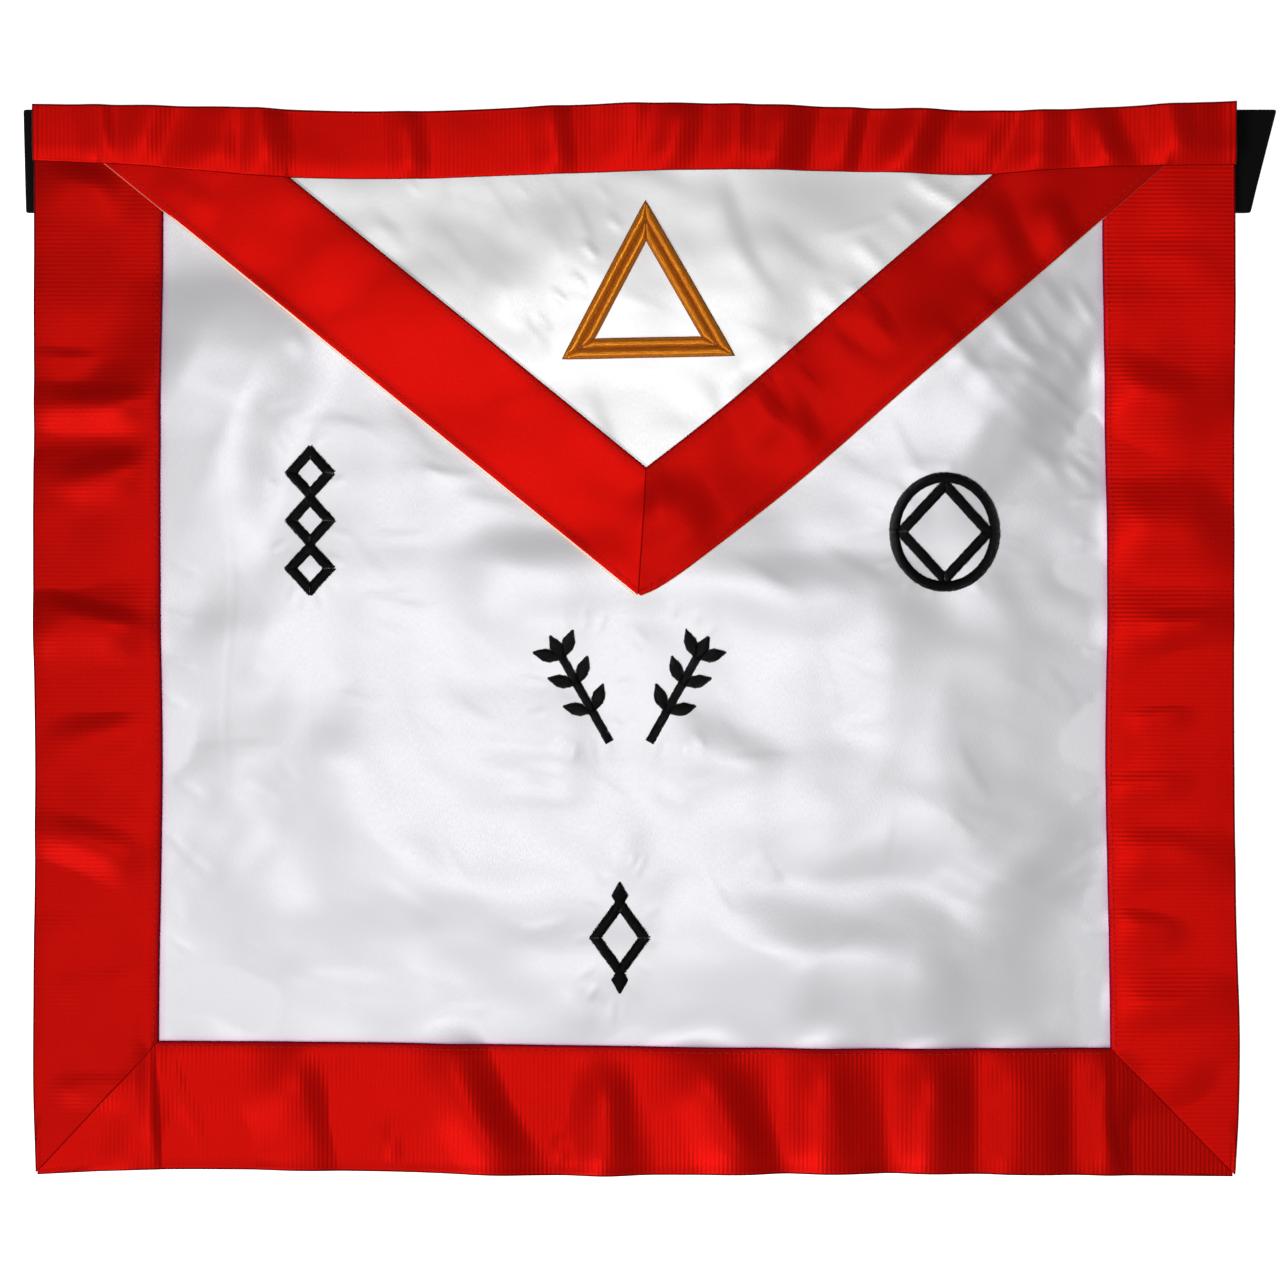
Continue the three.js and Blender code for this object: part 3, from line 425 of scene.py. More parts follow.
def waistSeamY(x):
    return halfHeight - apron["waistBand"] - inward("waistSeam", x / apron["width"] + 0.5)


# The flap's edges: a point at a share of the way from the tip to an upper corner, moved inwards
flapTip = np.array([flap["tipShift"], halfHeight - flap["drop"]])


def flapRun(side):
    run = np.array([side * halfWidth, float(topY(side * halfWidth))]) - flapTip
    inwards = np.array([-side * run[1], side * run[0]]) / np.hypot(*run)
    return run, inwards


def flapEdge(side, share, inset):
    run, inwards = flapRun(side)
    bow = flap["bow"] * follow(edges["flapBow"], share) if side > 0 else 0 * share
    return flapTip + share[..., None] * run + (bow + inset)[..., None] * inwards


def cross(a, b):
    return a[..., 0] * b[..., 1] - a[..., 1] * b[..., 0]


# Where two lines of points meet
def crossing(first, second):
    for p, q in zip(first, first[1:]):
        for r, s in zip(second, second[1:]):
            a, b, between = q - p, s - r, r - p
            t, u = cross(between, b) / cross(a, b), cross(between, a) / cross(a, b)
            if 0 <= t <= 1 and 0 <= u <= 1:
                return p + a * t


def flapLine(side, inset):
    shares = np.linspace(0, 1.12, 60)
    return flapEdge(side, shares, np.full(shares.shape, inset))


bandInset = flap["rim"] + flap["ribbon"]
flapMitre = [crossing(flapLine(-1, inset), flapLine(1, inset)) for inset in (flap["rim"], bandInset)]
waistXs = np.linspace(-halfWidth, halfWidth, 60)
waistLine = np.stack([waistXs, waistSeamY(waistXs)], -1)
bandTopLeft, bandTopRight = [crossing(flapLine(side, bandInset), waistLine)[0] for side in (-1, 1)]

# Where the frame lies in the apron's own coordinates
beltTop = halfHeight - belt["inset"]
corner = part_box("belt_right")[1]
shift = np.array([corner.x - halfWidth - belt["rightFold"][0], corner.y - beltTop, 0])

lowerRun = belt["thick"] + apron["gap"]
claspHeight = 2 * belt["claspSkin"] + belt["thick"] + 2 * apron["gap"]
claspWidth = belt["width"] + 2 * (apron["gap"] + belt["claspCheek"])
claspY = beltTop - belt["sag"] - belt["width"] / 2


def foldHeight(folds, x, y):
    height = np.zeros(np.broadcast(x, y).shape)
    for foldX, foldY, degrees, long, wide, rise in folds:
        turn = math.radians(degrees)
        dx = x - foldX * apron["width"]
        dy = y - foldY * apron["height"]
        alongIt = np.abs(dx * math.cos(turn) + dy * math.sin(turn)) / (long * apron["width"])
        acrossIt = np.abs(dy * math.cos(turn) - dx * math.sin(turn)) / (wide * apron["width"])
        height += rise * ease(1 - acrossIt) * ease(drape["foldEnds"] * (1 - alongIt))
    return height


def wrinkleHeight(wrinkles, x, y):
    height = np.zeros(np.broadcast(x, y).shape)
    strayX = 1000 * (x + ripple(x, y, 21, *drape["stray"]))
    strayY = 1000 * (y + ripple(x, y, 22, *drape["stray"]))
    for middleX, middleY, degrees, long, lit, shaded, rise in wrinkles:
        reach = math.hypot(long, max(lit, shaded))
        near = (np.abs(strayX - middleX) < reach) & (np.abs(strayY - middleY) < reach)
        dx, dy = strayX[near] - middleX, strayY[near] - middleY
        turn = math.radians(degrees)
        alongIt = np.abs(dx * math.cos(turn) + dy * math.sin(turn)) / long
        acrossIt = dy * math.cos(turn) - dx * math.sin(turn)
        acrossIt = np.where(acrossIt > 0, acrossIt / shaded, -acrossIt / lit)
        height[near] += rise / 1000 * ease(1 - acrossIt) * ease(drape["wrinkleEnds"] * (1 - alongIt))
    return height


# Small crumples that fade out round a few spots
def crumple(spots, x, y):
    height = np.zeros(np.broadcast(x, y).shape)
    for seed, (middleX, middleY, reach, length, rise) in enumerate(spots):
        away = np.hypot(1000 * x - middleX, 1000 * y - middleY) / reach
        height += ease(1.4 - away) * ripple(x, y, 40 + seed, length / 1000, rise / 1000)
    return height


# Slight unevenness that all cloth has: a few long waves in many directions
def ripple(x, y, seed, length, rise, count=9):
    dice = np.random.RandomState(seed)
    height = np.zeros(np.broadcast(x, y).shape)
    for _ in range(count):
        turn, phase = dice.uniform(0, math.pi), dice.uniform(0, 2 * math.pi)
        wave = 2 * math.pi / (length * dice.uniform(0.7, 1.6))
        height += np.sin((x * math.cos(turn) + y * math.sin(turn)) * wave + phase)
    return rise * height / math.sqrt(count)


# Height of the body's underside
def ground(x, y):
    beltLow = claspY - claspWidth / 2 - drape["clear"] - drape["beltRamp"]
    strip = ease((y - beltLow) / drape["beltRamp"])
    sewnFrom = halfWidth - belt["sewn"] - drape["clear"] - drape["levelRamp"]
    cornerLift = ease((np.abs(x) - sewnFrom) / drape["levelRamp"])
    middleLift = 1 - ease((np.abs(x) - belt["claspLength"] / 2 - drape["clear"]) / drape["levelRamp"])
    level = lowerRun + lowerRun * cornerLift + (claspHeight + apron["gap"] - lowerRun) * middleLift
    fromSide = np.minimum(x - leftSeamX(y), rightSeamX(y) - x)
    crown = ease(fromSide / drape["crownRun"]) * ease((y - hemSeamY(x)) / drape["crownRun"])
    height = strip * level + drape["foldRise"] * foldHeight(bodyFolds, x, y) + drape["crown"] * crown
    height += wrinkleHeight(bodyWrinkles, x, y) + crumple(crumpledSpots, x, y)
    height += sum(ripple(x, y, *wave) for wave in drape["bodyWaves"])
    return np.maximum(height, 0.00002)


def onBody(x, y):
    return ground(x, y) + apron["satin"] + apron["gap"]


def underFlap(x, y):
    borderFrom = halfWidth - apron["border"] - apron["wander"] - drape["clear"] - drape["liftRamp"]
    lift = (apron["ribbon"] + apron["gap"]) * ease((np.abs(x) - borderFrom) / drape["liftRamp"])
    return onBody(x, y) + lift


def onFlap(x, y):
    wrinkled = wrinkleHeight(flapWrinkles, x, y) + sum(ripple(x, y, *wave) for wave in drape["flapWaves"])
    return underFlap(x, y) + apron["flapCloth"] + apron["gap"] + wrinkled


def underWaistBand(x, y):
    pastLeft = (bandTopLeft + drape["clear"] + drape["liftRamp"] - x) / drape["liftRamp"]
    pastRight = (x - bandTopRight + drape["clear"] + drape["liftRamp"]) / drape["liftRamp"]
    lift = (apron["ribbon"] + apron["gap"]) * np.maximum(ease(pastLeft), ease(pastRight))
    folds = drape["waistFoldRise"] * foldHeight(waistFolds, x, y) + wrinkleHeight(waistWrinkles, x, y)
    return onFlap(x, y) + lift + folds


# Mesh from points in the apron's coordinates, with values kept on its points
def meshPiece(name, points, faces, marks, links=()):
    mesh = bpy.data.meshes.new(name)
    mesh.from_pydata((np.asarray(points) + shift).tolist(), list(links), faces)
    for mark, values in marks.items():
        attribute = mesh.attributes.new(mark, "FLOAT", "POINT")
        attribute.data.foreach_set("value", np.asarray(values, np.float32).ravel())
    mesh.polygons.foreach_set("use_smooth", [True] * len(mesh.polygons))
    piece = bpy.data.objects.new(name, mesh)
    bpy.context.scene.collection.objects.link(piece)
    return piece


# A closed sheet over a net of plan points: fine above, coarser below, with every edge point shared
def sheetPiece(name, plan, under, top, marks, coarse=8):
    first, second = plan[0, 1] - plan[0, 0], plan[1, 0] - plan[0, 0]
    if cross(first, second) < 0:
        plan, under, top = plan[:, ::-1], under[:, ::-1], top[:, ::-1]
        marks = {mark: values[:, ::-1] for mark, values in marks.items()}
    rows, columns = plan.shape[:2]
    keptRows = sorted({*range(0, rows, coarse), rows - 1})
    keptColumns = sorted({*range(0, columns, coarse), columns - 1})
    below = np.zeros((rows, columns), bool)
    below[[0, -1], :] = True
    below[:, [0, -1]] = True
    below[np.ix_(keptRows, keptColumns)] = True
    high = np.arange(rows * columns).reshape(rows, columns)
    low = np.full((rows, columns), -1)
    low[below] = rows * columns + np.arange(below.sum())
    points = np.concatenate([np.dstack([plan, top]).reshape(-1, 3), np.dstack([plan, under])[below]])
    faces = np.stack([high[:-1, :-1], high[:-1, 1:], high[1:, 1:], high[1:, :-1]], -1)
    faces = faces.reshape(-1, 4).tolist()
    ring = [(0, c) for c in range(columns)] + [(r, columns - 1) for r in range(1, rows)]
    ring += [(rows - 1, c) for c in range(columns - 2, -1, -1)] + [(r, 0) for r in range(rows - 2, 0, -1)]
    for here, there in zip(ring, ring[1:] + ring[:1]):
        faces.append([int(low[here]), int(low[there]), int(high[there]), int(high[here])])
    for r0, r1 in zip(keptRows, keptRows[1:]):
        for c0, c1 in zip(keptColumns, keptColumns[1:]):
            around = [(r, c0) for r in (range(r0, r1) if c0 == 0 else [r0])]
            around += [(r1, c) for c in (range(c0, c1) if r1 == rows - 1 else [c0])]
            around += [(r, c1) for r in (range(r1, r0, -1) if c1 == columns - 1 else [r1])]
            around += [(r0, c) for c in (range(c1, c0, -1) if r0 == 0 else [c1])]
            faces.append([int(low[place]) for place in around])
    kept = {mark: np.concatenate([values.ravel(), values[below]]) for mark, values in marks.items()}
    if "ribbed" in kept:
        kept["ribbed"][rows * columns :] = 0
    return meshPiece(name, points, faces, kept)


# Distances of grid lines from one edge of a cloth to the other, closer together near both edges
def gridLines(length, step, close=(0, 0.00015, 0.0004, 0.0008, 0.0014)):
    middle = np.linspace(close[-1], length - close[-1], max(3, round(length / step)))
    return np.concatenate([close[:-1], middle, length - np.array(close[:-1])[::-1]])


# How far a surface has come down at a distance from its edge, as a quarter of an ellipse
def rolled(distance, drop, reach):
    t = np.clip(1 - distance / reach, 0, 1)
    return drop * (1 - np.sqrt(1 - t * t))


def geometryTree(name, sizes):
    tree = bpy.data.node_groups.new(name, "GeometryNodeTree")
    tree.interface.new_socket("Geometry", in_out="INPUT", socket_type="NodeSocketGeometry")
    for label, kind in sizes.items():
        tree.interface.new_socket(label, in_out="INPUT", socket_type=kind)
    tree.interface.new_socket("Geometry", in_out="OUTPUT", socket_type="NodeSocketGeometry")
    return tree, tree.nodes.new("NodeGroupInput"), tree.nodes.new("NodeGroupOutput")


def treeNode(tree, kind, links=None, **settings):
    node = tree.nodes.new(kind)
    for setting, value in settings.items():
        setattr(node, setting, value)
    for socket, source in (links or {}).items():
        if isinstance(source, bpy.types.NodeSocket):
            tree.links.new(source, node.inputs[socket])
        else:
            node.inputs[socket].default_value = source
    return node


def mathNode(tree, operation, *values):
    return treeNode(tree, "ShaderNodeMath", dict(enumerate(values)), operation=operation).outputs[0]


# Ends a tree: what it has made becomes plain geometry of the given material
def endTree(tree, geometry, given, result):
    real = treeNode(tree, "GeometryNodeRealizeInstances", {"Geometry": geometry})
    painted = treeNode(tree, "GeometryNodeSetMaterial",
                       {"Geometry": real.outputs[0], "Material": given.outputs["Material"]})
    tree.links.new(painted.outputs[0], result.inputs[0])
    return tree


def ribTree():
    tree, given, result = geometryTree("ribs", {
        "Pitch": "NodeSocketFloat",
        "Depth": "NodeSocketFloat",
        "Unevenness": "NodeSocketFloat",
        "Material": "NodeSocketMaterial",
    })
    along = treeNode(tree, "GeometryNodeInputNamedAttribute", {"Name": "along"}, data_type="FLOAT")
    ribbed = treeNode(tree, "GeometryNodeInputNamedAttribute", {"Name": "ribbed"}, data_type="FLOAT")
    noise = treeNode(tree, "ShaderNodeTexNoise", {"Scale": 90.0, "Detail": 2.0})
    centred = mathNode(tree, "SUBTRACT", noise.outputs["Fac"], 0.5)
    strayed = mathNode(tree, "MULTIPLY", centred, given.outputs["Unevenness"])
    place = mathNode(tree, "ADD", along.outputs["Attribute"], strayed)
    count = mathNode(tree, "DIVIDE", place, given.outputs["Pitch"])
    wave = mathNode(tree, "SINE", mathNode(tree, "MULTIPLY", count, 2 * math.pi))
    deep = mathNode(tree, "MULTIPLY", wave, given.outputs["Depth"])
    masked = mathNode(tree, "MULTIPLY", deep, ribbed.outputs["Attribute"])
    normal = treeNode(tree, "GeometryNodeInputNormal")
    offset = treeNode(tree, "ShaderNodeVectorMath", {0: normal.outputs[0], "Scale": masked},
                      operation="SCALE")
    moved = treeNode(tree, "GeometryNodeSetPosition",
                     {"Geometry": given.outputs["Geometry"], "Offset": offset.outputs[0]})
    return endTree(tree, moved.outputs[0], given, result)


def threadTree():
    tree, given, result = geometryTree("threads", {
        "Radius": "NodeSocketFloat",
        "Sides": "NodeSocketInt",
        "Material": "NodeSocketMaterial",
    })
    curve = treeNode(tree, "GeometryNodeMeshToCurve", {"Mesh": given.outputs["Geometry"]})
    circle = treeNode(tree, "GeometryNodeCurvePrimitiveCircle",
                      {"Resolution": given.outputs["Sides"], "Radius": given.outputs["Radius"]})
    tube = treeNode(tree, "GeometryNodeCurveToMesh",
                    {"Curve": curve.outputs[0], "Profile Curve": circle.outputs[0], "Fill Caps": True})
    smooth = treeNode(tree, "GeometryNodeSetShadeSmooth", {"Geometry": tube.outputs[0]})
    return endTree(tree, smooth.outputs[0], given, result)


# Runs a tree on a piece with the given inputs, and keeps the result as a plain mesh
def grow(piece, tree, **inputs):
    modifier = piece.modifiers.new(tree.name, "NODES")
    modifier.node_group = tree
    for item in tree.interface.items_tree:
        if item.in_out == "INPUT" and item.name in inputs:
            modifier[item.identifier] = inputs[item.name]
    piece.update_tag()
    bpy.context.view_layer.update()
    evaluated = piece.evaluated_get(bpy.context.evaluated_depsgraph_get())
    mesh = bpy.data.meshes.new_from_object(evaluated)
    piece.modifiers.remove(modifier)
    old = piece.data
    piece.data = mesh
    bpy.data.meshes.remove(old)
    mesh.name = piece.name
    return piece


ribs = ribTree()
threads = threadTree()


def material(name, colour, roughness, **sockets):
    made = bpy.data.materials.new(name)
    made.use_nodes = True
    shader = made.node_tree.nodes["Principled BSDF"]
    shader.inputs["Base Color"].default_value = (*colour, 1)
    shader.inputs["Roughness"].default_value = roughness
    for socket, value in sockets.items():
        shader.inputs[socket.replace("_", " ")].default_value = value
    return made, made.node_tree, shader


# Two colours mixed as far as a node's output, or an attribute of the piece, says
def mixed(tree, share, first, second):
    if isinstance(share, str):
        share = treeNode(tree, "ShaderNodeAttribute", attribute_name=share).outputs["Fac"]
    blend = treeNode(tree, "ShaderNodeMix", {0: share, "A": first, "B": second}, data_type="RGBA")
    return blend.outputs["Result"]


# Colour that drifts between two shades over cloudy patches
def mottled(tree, vector, size, colours):
    noise = treeNode(tree, "ShaderNodeTexNoise", {"Vector": vector, "Scale": 1 / size, "Detail": 4.0})
    return mixed(tree, noise.outputs["Fac"], (*colours[0], 1), (*colours[1], 1))


# Roughness and bumps that follow a noise
def textured(tree, shader, noise, roughness, spread, depth):
    value = noise.outputs["Fac"]
    rough = treeNode(tree, "ShaderNodeMapRange",
                     {"Value": value, "To Min": roughness - spread, "To Max": roughness + spread})
    tree.links.new(rough.outputs[0], shader.inputs["Roughness"])
    bump = treeNode(tree, "ShaderNodeBump", {"Height": value, "Distance": depth, "Strength": 1.0})
    tree.links.new(bump.outputs[0], shader.inputs["Normal"])


def streaks(tree, vector, scale, detail):
    stretched = treeNode(tree, "ShaderNodeMapping", {"Vector": vector, "Scale": scale}).outputs[0]
    return treeNode(tree, "ShaderNodeTexNoise", {"Vector": stretched, "Scale": 1.0, "Detail": detail})


def satinMaterial(name, colours, paintedLightColour, redColour, roughness):
    made, tree, shader = material(name, colours[0], roughness, Metallic=0.2, Specular_IOR_Level=0.55)
    place = treeNode(tree, "ShaderNodeTexCoord").outputs["Object"]
    # Painted light: red reflected beside the seams, and a highlight on the flap's rim
    colour = mixed(tree, "paintedLight", mottled(tree, place, 0.03, colours), (*paintedLightColour, 1))
    colour = mixed(tree, "reddened", colour, (*redColour, 1))
    tree.links.new(colour, shader.inputs["Base Color"])
    textured(tree, shader, streaks(tree, place, (4000, 700, 1), 3.0), roughness, 0.05, 0.00003)
    return made


paintedShadeDarkness = 0.13  # how dark a ribbon is where shade is painted on it, in creases and along edges, as a share of its colour


def ribbonMaterial(name, colours, seamShadowColour, roughness, **sockets):
    gloss = {"Metallic": 0.35, "Specular_IOR_Level": 0.2, "Specular_Tint": (1, 0.05, 0.04, 1), **sockets}
    made, tree, shader = material(name, colours[0], roughness, **gloss)
    along = treeNode(tree, "ShaderNodeAttribute", attribute_name="along")
    aside = treeNode(tree, "ShaderNodeAttribute", attribute_name="aside")
    combined = treeNode(tree, "ShaderNodeCombineXYZ", {"X": along.outputs["Fac"], "Y": aside.outputs["Fac"]})
    place = combined.outputs[0]
    # Painted shadow line along each seam
    colour = mixed(tree, "seam", mottled(tree, place, 0.02, colours), (*seamShadowColour, 1))
    # Painted shade: dark lines along edges, mitres, folds and stitch grooves, and the shaded stretches
    colour = mixed(tree, "paintedShade", colour, (*[value * paintedShadeDarkness for value in colours[0]], 1))
    tree.links.new(colour, shader.inputs["Base Color"])
    textured(tree, shader, streaks(tree, place, (900, 3200, 1), 3.0), roughness, 0.06, 0.00004)
    return made


def threadMaterial(name, colours, roughness, **sockets):
    made, tree, shader = material(name, colours[0], roughness, **{"Specular_IOR_Level": 0.25, **sockets})
    place = treeNode(tree, "ShaderNodeTexCoord").outputs["Object"]
    tree.links.new(mottled(tree, place, 0.0006, colours), shader.inputs["Base Color"])
    fibre = treeNode(tree, "ShaderNodeTexNoise", {"Vector": place, "Scale": 9000.0})
    textured(tree, shader, fibre, roughness, 0.08, 0.00002)
    return made


whiteSatin = satinMaterial("white satin", [(0.575, 0.567, 0.595), (0.64, 0.634, 0.66)], (0.62, 0.33, 0.53),
                           (0.6, 0.1, 0.1), 0.41)
# The flap's satin: the same white satin painted lighter as painted light, with a peach painted highlight for
# its rim
flapSatinPaintedLighter = satinMaterial("flap satin", [(0.665, 0.66, 0.67), (0.73, 0.73, 0.74)], (0.92, 0.56, 0.4),
                          (0.5, 0.02, 0.015), 0.41)


# A red ribbon's colour scaled by its own painted shading
def redCloth(name, paintedShading, seamShadowColour):
    colours = [(0.52 * paintedShading, 0.0035 * paintedShading, 0.002 * paintedShading), (0.6 * paintedShading, 0.0045 * paintedShading, 0.0025 * paintedShading)]
    return ribbonMaterial(name, colours, seamShadowColour, 0.46)


# Copies of one red ribbon, each made darker or lighter by painted shading for how light falls on its part of
# the apron
redCloths = {
    "left": redCloth("red ribbon left", 0.72, (0.13, 0.0, 0.04)),
    "right": redCloth("red ribbon right", 0.98, (0.16, 0.0, 0.045)),
    "hem": redCloth("red ribbon hem", 0.86, (0.13, 0.0, 0.04)),
    "waist": redCloth("red ribbon waist", 0.95, (0.11, 0.0, 0.01)),
    "flapLeft": redCloth("flap ribbon left", 0.94, (0.16, 0.0, 0.01)),
    "flapRight": redCloth("flap ribbon right", 0.74, (0.16, 0.0, 0.01)),
}
goldThread = threadMaterial("gold thread", [(0.6, 0.15, 0.003), (1.0, 0.42, 0.035)], 0.3, Metallic=0.7)
outlineThread = threadMaterial("dark brown thread", [(0.2, 0.045, 0.002), (0.3, 0.075, 0.004)], 0.6)
blackThread = threadMaterial("black thread", [(0.0008, 0.0008, 0.0007), (0.0022, 0.0022, 0.002)], 0.55,
                             Specular_IOR_Level=0.1)
redThread = threadMaterial("red thread", [(0.3, 0.003, 0.002), (0.4, 0.006, 0.004)], 0.5)
webbingCloth = ribbonMaterial("black webbing", [(0.0015, 0.0015, 0.0013), (0.003, 0.003, 0.0027)],
                              (0.001,) * 3, 0.8, Metallic=0.0, Specular_IOR_Level=0.08,
                              Specular_Tint=(1, 1, 1, 1))
print("materials made")


satinForm = {
    "step": 0.0011,
    "hiddenStep": 0.004,
    "pastSeam": 0.0045,  # how far the fine net of the body goes under a border
    "pastWaist": 0.0055,
    "edge": (0.0004, 0.0008),  # how far the edge comes down, and over what distance
    "paintedLight": 0.55,  # how strongly the ribbons' red shows beside a seam as painted reflection, and over what distance
    "paintedLightRun": 0.0024,
    "flapSteps": (0.0014, 0.0016),
    "flapEdge": (0.0007, 0.0009),
    "flapRim": 0.0006,
    "flapSlant": 0.78,  # distance from the flap's slanting edge, as a share of that along x
    "reddened": (0.45, 0.9),
}


# Distances of grid lines across the body: wide apart where a ribbon covers it, close where it shows
def fieldLines(length, hiddenFirst, hiddenLast):
    step = satinForm["hiddenStep"]
    first = np.linspace(0, hiddenFirst, round(hiddenFirst / step), endpoint=False)
    last = length - np.linspace(0, hiddenLast, round(hiddenLast / step), endpoint=False)[::-1]
    count = round((length - hiddenFirst - hiddenLast) / satinForm["step"])
    shown = np.linspace(hiddenFirst, length - hiddenLast, count)
    return np.concatenate([first[:1], [0.0003, 0.0008], first[1:], shown, last[:-1],
                           [length - 0.0008, length - 0.0003], last[-1:]])


def makeBody():
    hidden = apron["border"] - satinForm["pastSeam"]
    xs = fieldLines(apron["width"], hidden, hidden)
    ys = fieldLines(apron["height"], hidden, apron["waistBand"] - satinForm["pastWaist"])
    shareX, shareY = np.meshgrid(xs / apron["width"], ys / apron["height"])
    x0 = (shareX - 0.5) * apron["width"]
    y0 = (shareY - 0.5) * apron["height"]
    left, right = leftX(y0) + apron["turnUnder"], rightX(y0) - apron["turnUnder"]
    bottom, top = hemY(x0) + apron["turnUnder"], topY(x0) - apron["turnUnder"]
    x = left + (right - left) * shareX
    y = bottom + (top - bottom) * shareY
    fromEdge = np.minimum(np.minimum(x - left, right - x), np.minimum(y - bottom, top - y))
    under = ground(x, y)
    upper = under + apron["satin"] - rolled(fromEdge, *satinForm["edge"])
    fromSeam = np.minimum(np.minimum(x - leftSeamX(y), rightSeamX(y) - x), y - hemSeamY(x))
    # Painted reflection of the red ribbons on the satin beside each seam
    paintedLight = satinForm["paintedLight"] * ease(1 - fromSeam / satinForm["paintedLightRun"])
    piece = sheetPiece("satin_body", np.dstack([x, y]), under, upper, {"paintedLight": paintedLight})
    piece.data.materials.append(whiteSatin)
    return piece


ribbonForm = {
    "pitch": 0.00143,
    "depth": 0.000022,
    "unevenness": 0.0002,
    "steps": 6,  # rows of points for each rib
    "across": 0.0028,
    # how far each kind of edge comes down, over what distance, and how wide its painted dark line is (a
    # painted shadow line at a seam, painted shade at the other kinds)
    "seam": (0.00098, 0.0022, 0.0003),
    "mitre": (0.00012, 0.0004, 0.00007),
    "fold": (0.00025, 0.0006, 0.00008),
    "edge": (0.00035, 0.0007, 0.0004),
    "stitches": (0.0016, 0.0001, 0.25),  # their distance inside an edge, how deep they pull, and how dark the painted shade in their groove is
    "stitchRun": 0.0005,
    "darkLine": 1.7,
    "calm": 0.001,  # the ribs fade out over this distance from an edge
    "tucked": (0.00024, 0.002),  # how far the underside goes down at an edge, and over what distance
}
# The ribs show least on the left border
sideRibbonForms = {-1: {**ribbonForm, "depth": 0.000013}, 1: {**ribbonForm, "depth": 0.00003}}
hemRibbonForm = {**ribbonForm, "depth": 0.00003}
flapRibbonForm = {**ribbonForm, "pitch": 0.00095, "depth": 0.000008, "steps": 4,
                  "seam": (0.0007, 0.0016, 0.0002), "edge": (0.0002, 0.0006, 0.00005)}


# A ribbon over a net of points. Each of its edges has a kind and a distance from every point, and aside is
# the distance from one long edge.
# Painted shade darkens it along its edges, mitres and folds, in its stitch grooves, and as far as shaded
# says.
def ribbonPiece(name, plan, along, aside, under, form, borders, ribbonCloth, shaded=0.0):
    seam, paintedShade, drop = [np.zeros(aside.shape) for _ in range(3)]
    nearest = np.full(aside.shape, 1.0)
    inside, pull, paintedShading = form["stitches"]
    for kind, distance in borders:
        down, reach, line = form[kind]
        drop = np.maximum(drop, rolled(distance, down, reach))
        # Each edge gets a dark line: the seam's painted shadow line, or painted shade at the other kinds
        dark = seam if kind == "seam" else paintedShade
        dark[:] = np.maximum(dark, ease(form["darkLine"] - distance / line))
        nearest = np.minimum(nearest, distance)
        if kind in ("seam", "edge"):
            sewn = ease(1 - np.abs(distance - inside) / form["stitchRun"])
            drop += pull * sewn
            paintedShade[:] = np.maximum(paintedShade, paintedShading * sewn)
    marks = {"along": along, "aside": aside, "seam": seam, "paintedShade": np.maximum(paintedShade, shaded),
             "ribbed": ease(nearest / form["calm"])}
    lowered = form["tucked"][0] * ease(1 - nearest / form["tucked"][1])
    piece = sheetPiece(name, plan, under - lowered, under + apron["ribbon"] - drop, marks)
    return grow(piece, ribs, Pitch=form["pitch"], Depth=form["depth"], Unevenness=form["unevenness"],
                Material=ribbonCloth)


# Distance of points from the straight line through two others
def fromLine(x, y, first, second):
    run = second - first
    return np.abs((x - first[0]) * run[1] - (y - first[1]) * run[0]) / np.hypot(*run)


def acrossShares(width, form):
    return gridLines(width, form["across"]) / width


# The ends of a lower corner's mitre: the outer corner, and where the seams meet
def cornerMitre(side):
    seamX = leftSeamX if side < 0 else rightSeamX
    outer = np.array([side * halfWidth, float(hemY(side * halfWidth))])
    inner = np.array([float(seamX(-halfHeight + apron["border"])),
                      float(hemSeamY(side * (halfWidth - apron["border"])))])
    return outer, inner


def makeSideRibbon(side):
    seamX, edgeX = (leftSeamX, leftX) if side < 0 else (rightSeamX, rightX)
    outer, inner = cornerMitre(side)
    step = ribbonForm["pitch"] / ribbonForm["steps"]
    y = np.arange(outer[1] + 0.0006, halfHeight - 0.0035, step)
    share = np.clip((y - outer[1]) / (inner[1] - outer[1]), 0, 1)
    mitreX = outer[0] + (inner[0] - outer[0]) * share
    innerX = np.where(y < inner[1], mitreX, seamX(y))
    outerX = edgeX(y)
    across = acrossShares(apron["border"], ribbonForm)
    x = innerX[:, None] + (outerX - innerX)[:, None] * across
    y = np.repeat(y[:, None], len(across), 1)
    aside = np.abs(x - seamX(y))
    borders = [("seam", aside), ("edge", np.abs(x - outerX[:, None])),
               ("mitre", fromLine(x, y, outer, inner))]
    name = "ribbon_left" if side < 0 else "ribbon_right"
    return ribbonPiece(name, np.dstack([x, y]), y, aside, onBody(x, y), sideRibbonForms[side], borders,
                       redCloths["left" if side < 0 else "right"])


# Painted shade on the hem, darker past its middle and past the last fold: from, over what run, and how dark
hemPaintedShades = [(0.06, 0.08, 0.12), (0.157, 0.008, 0.14)]


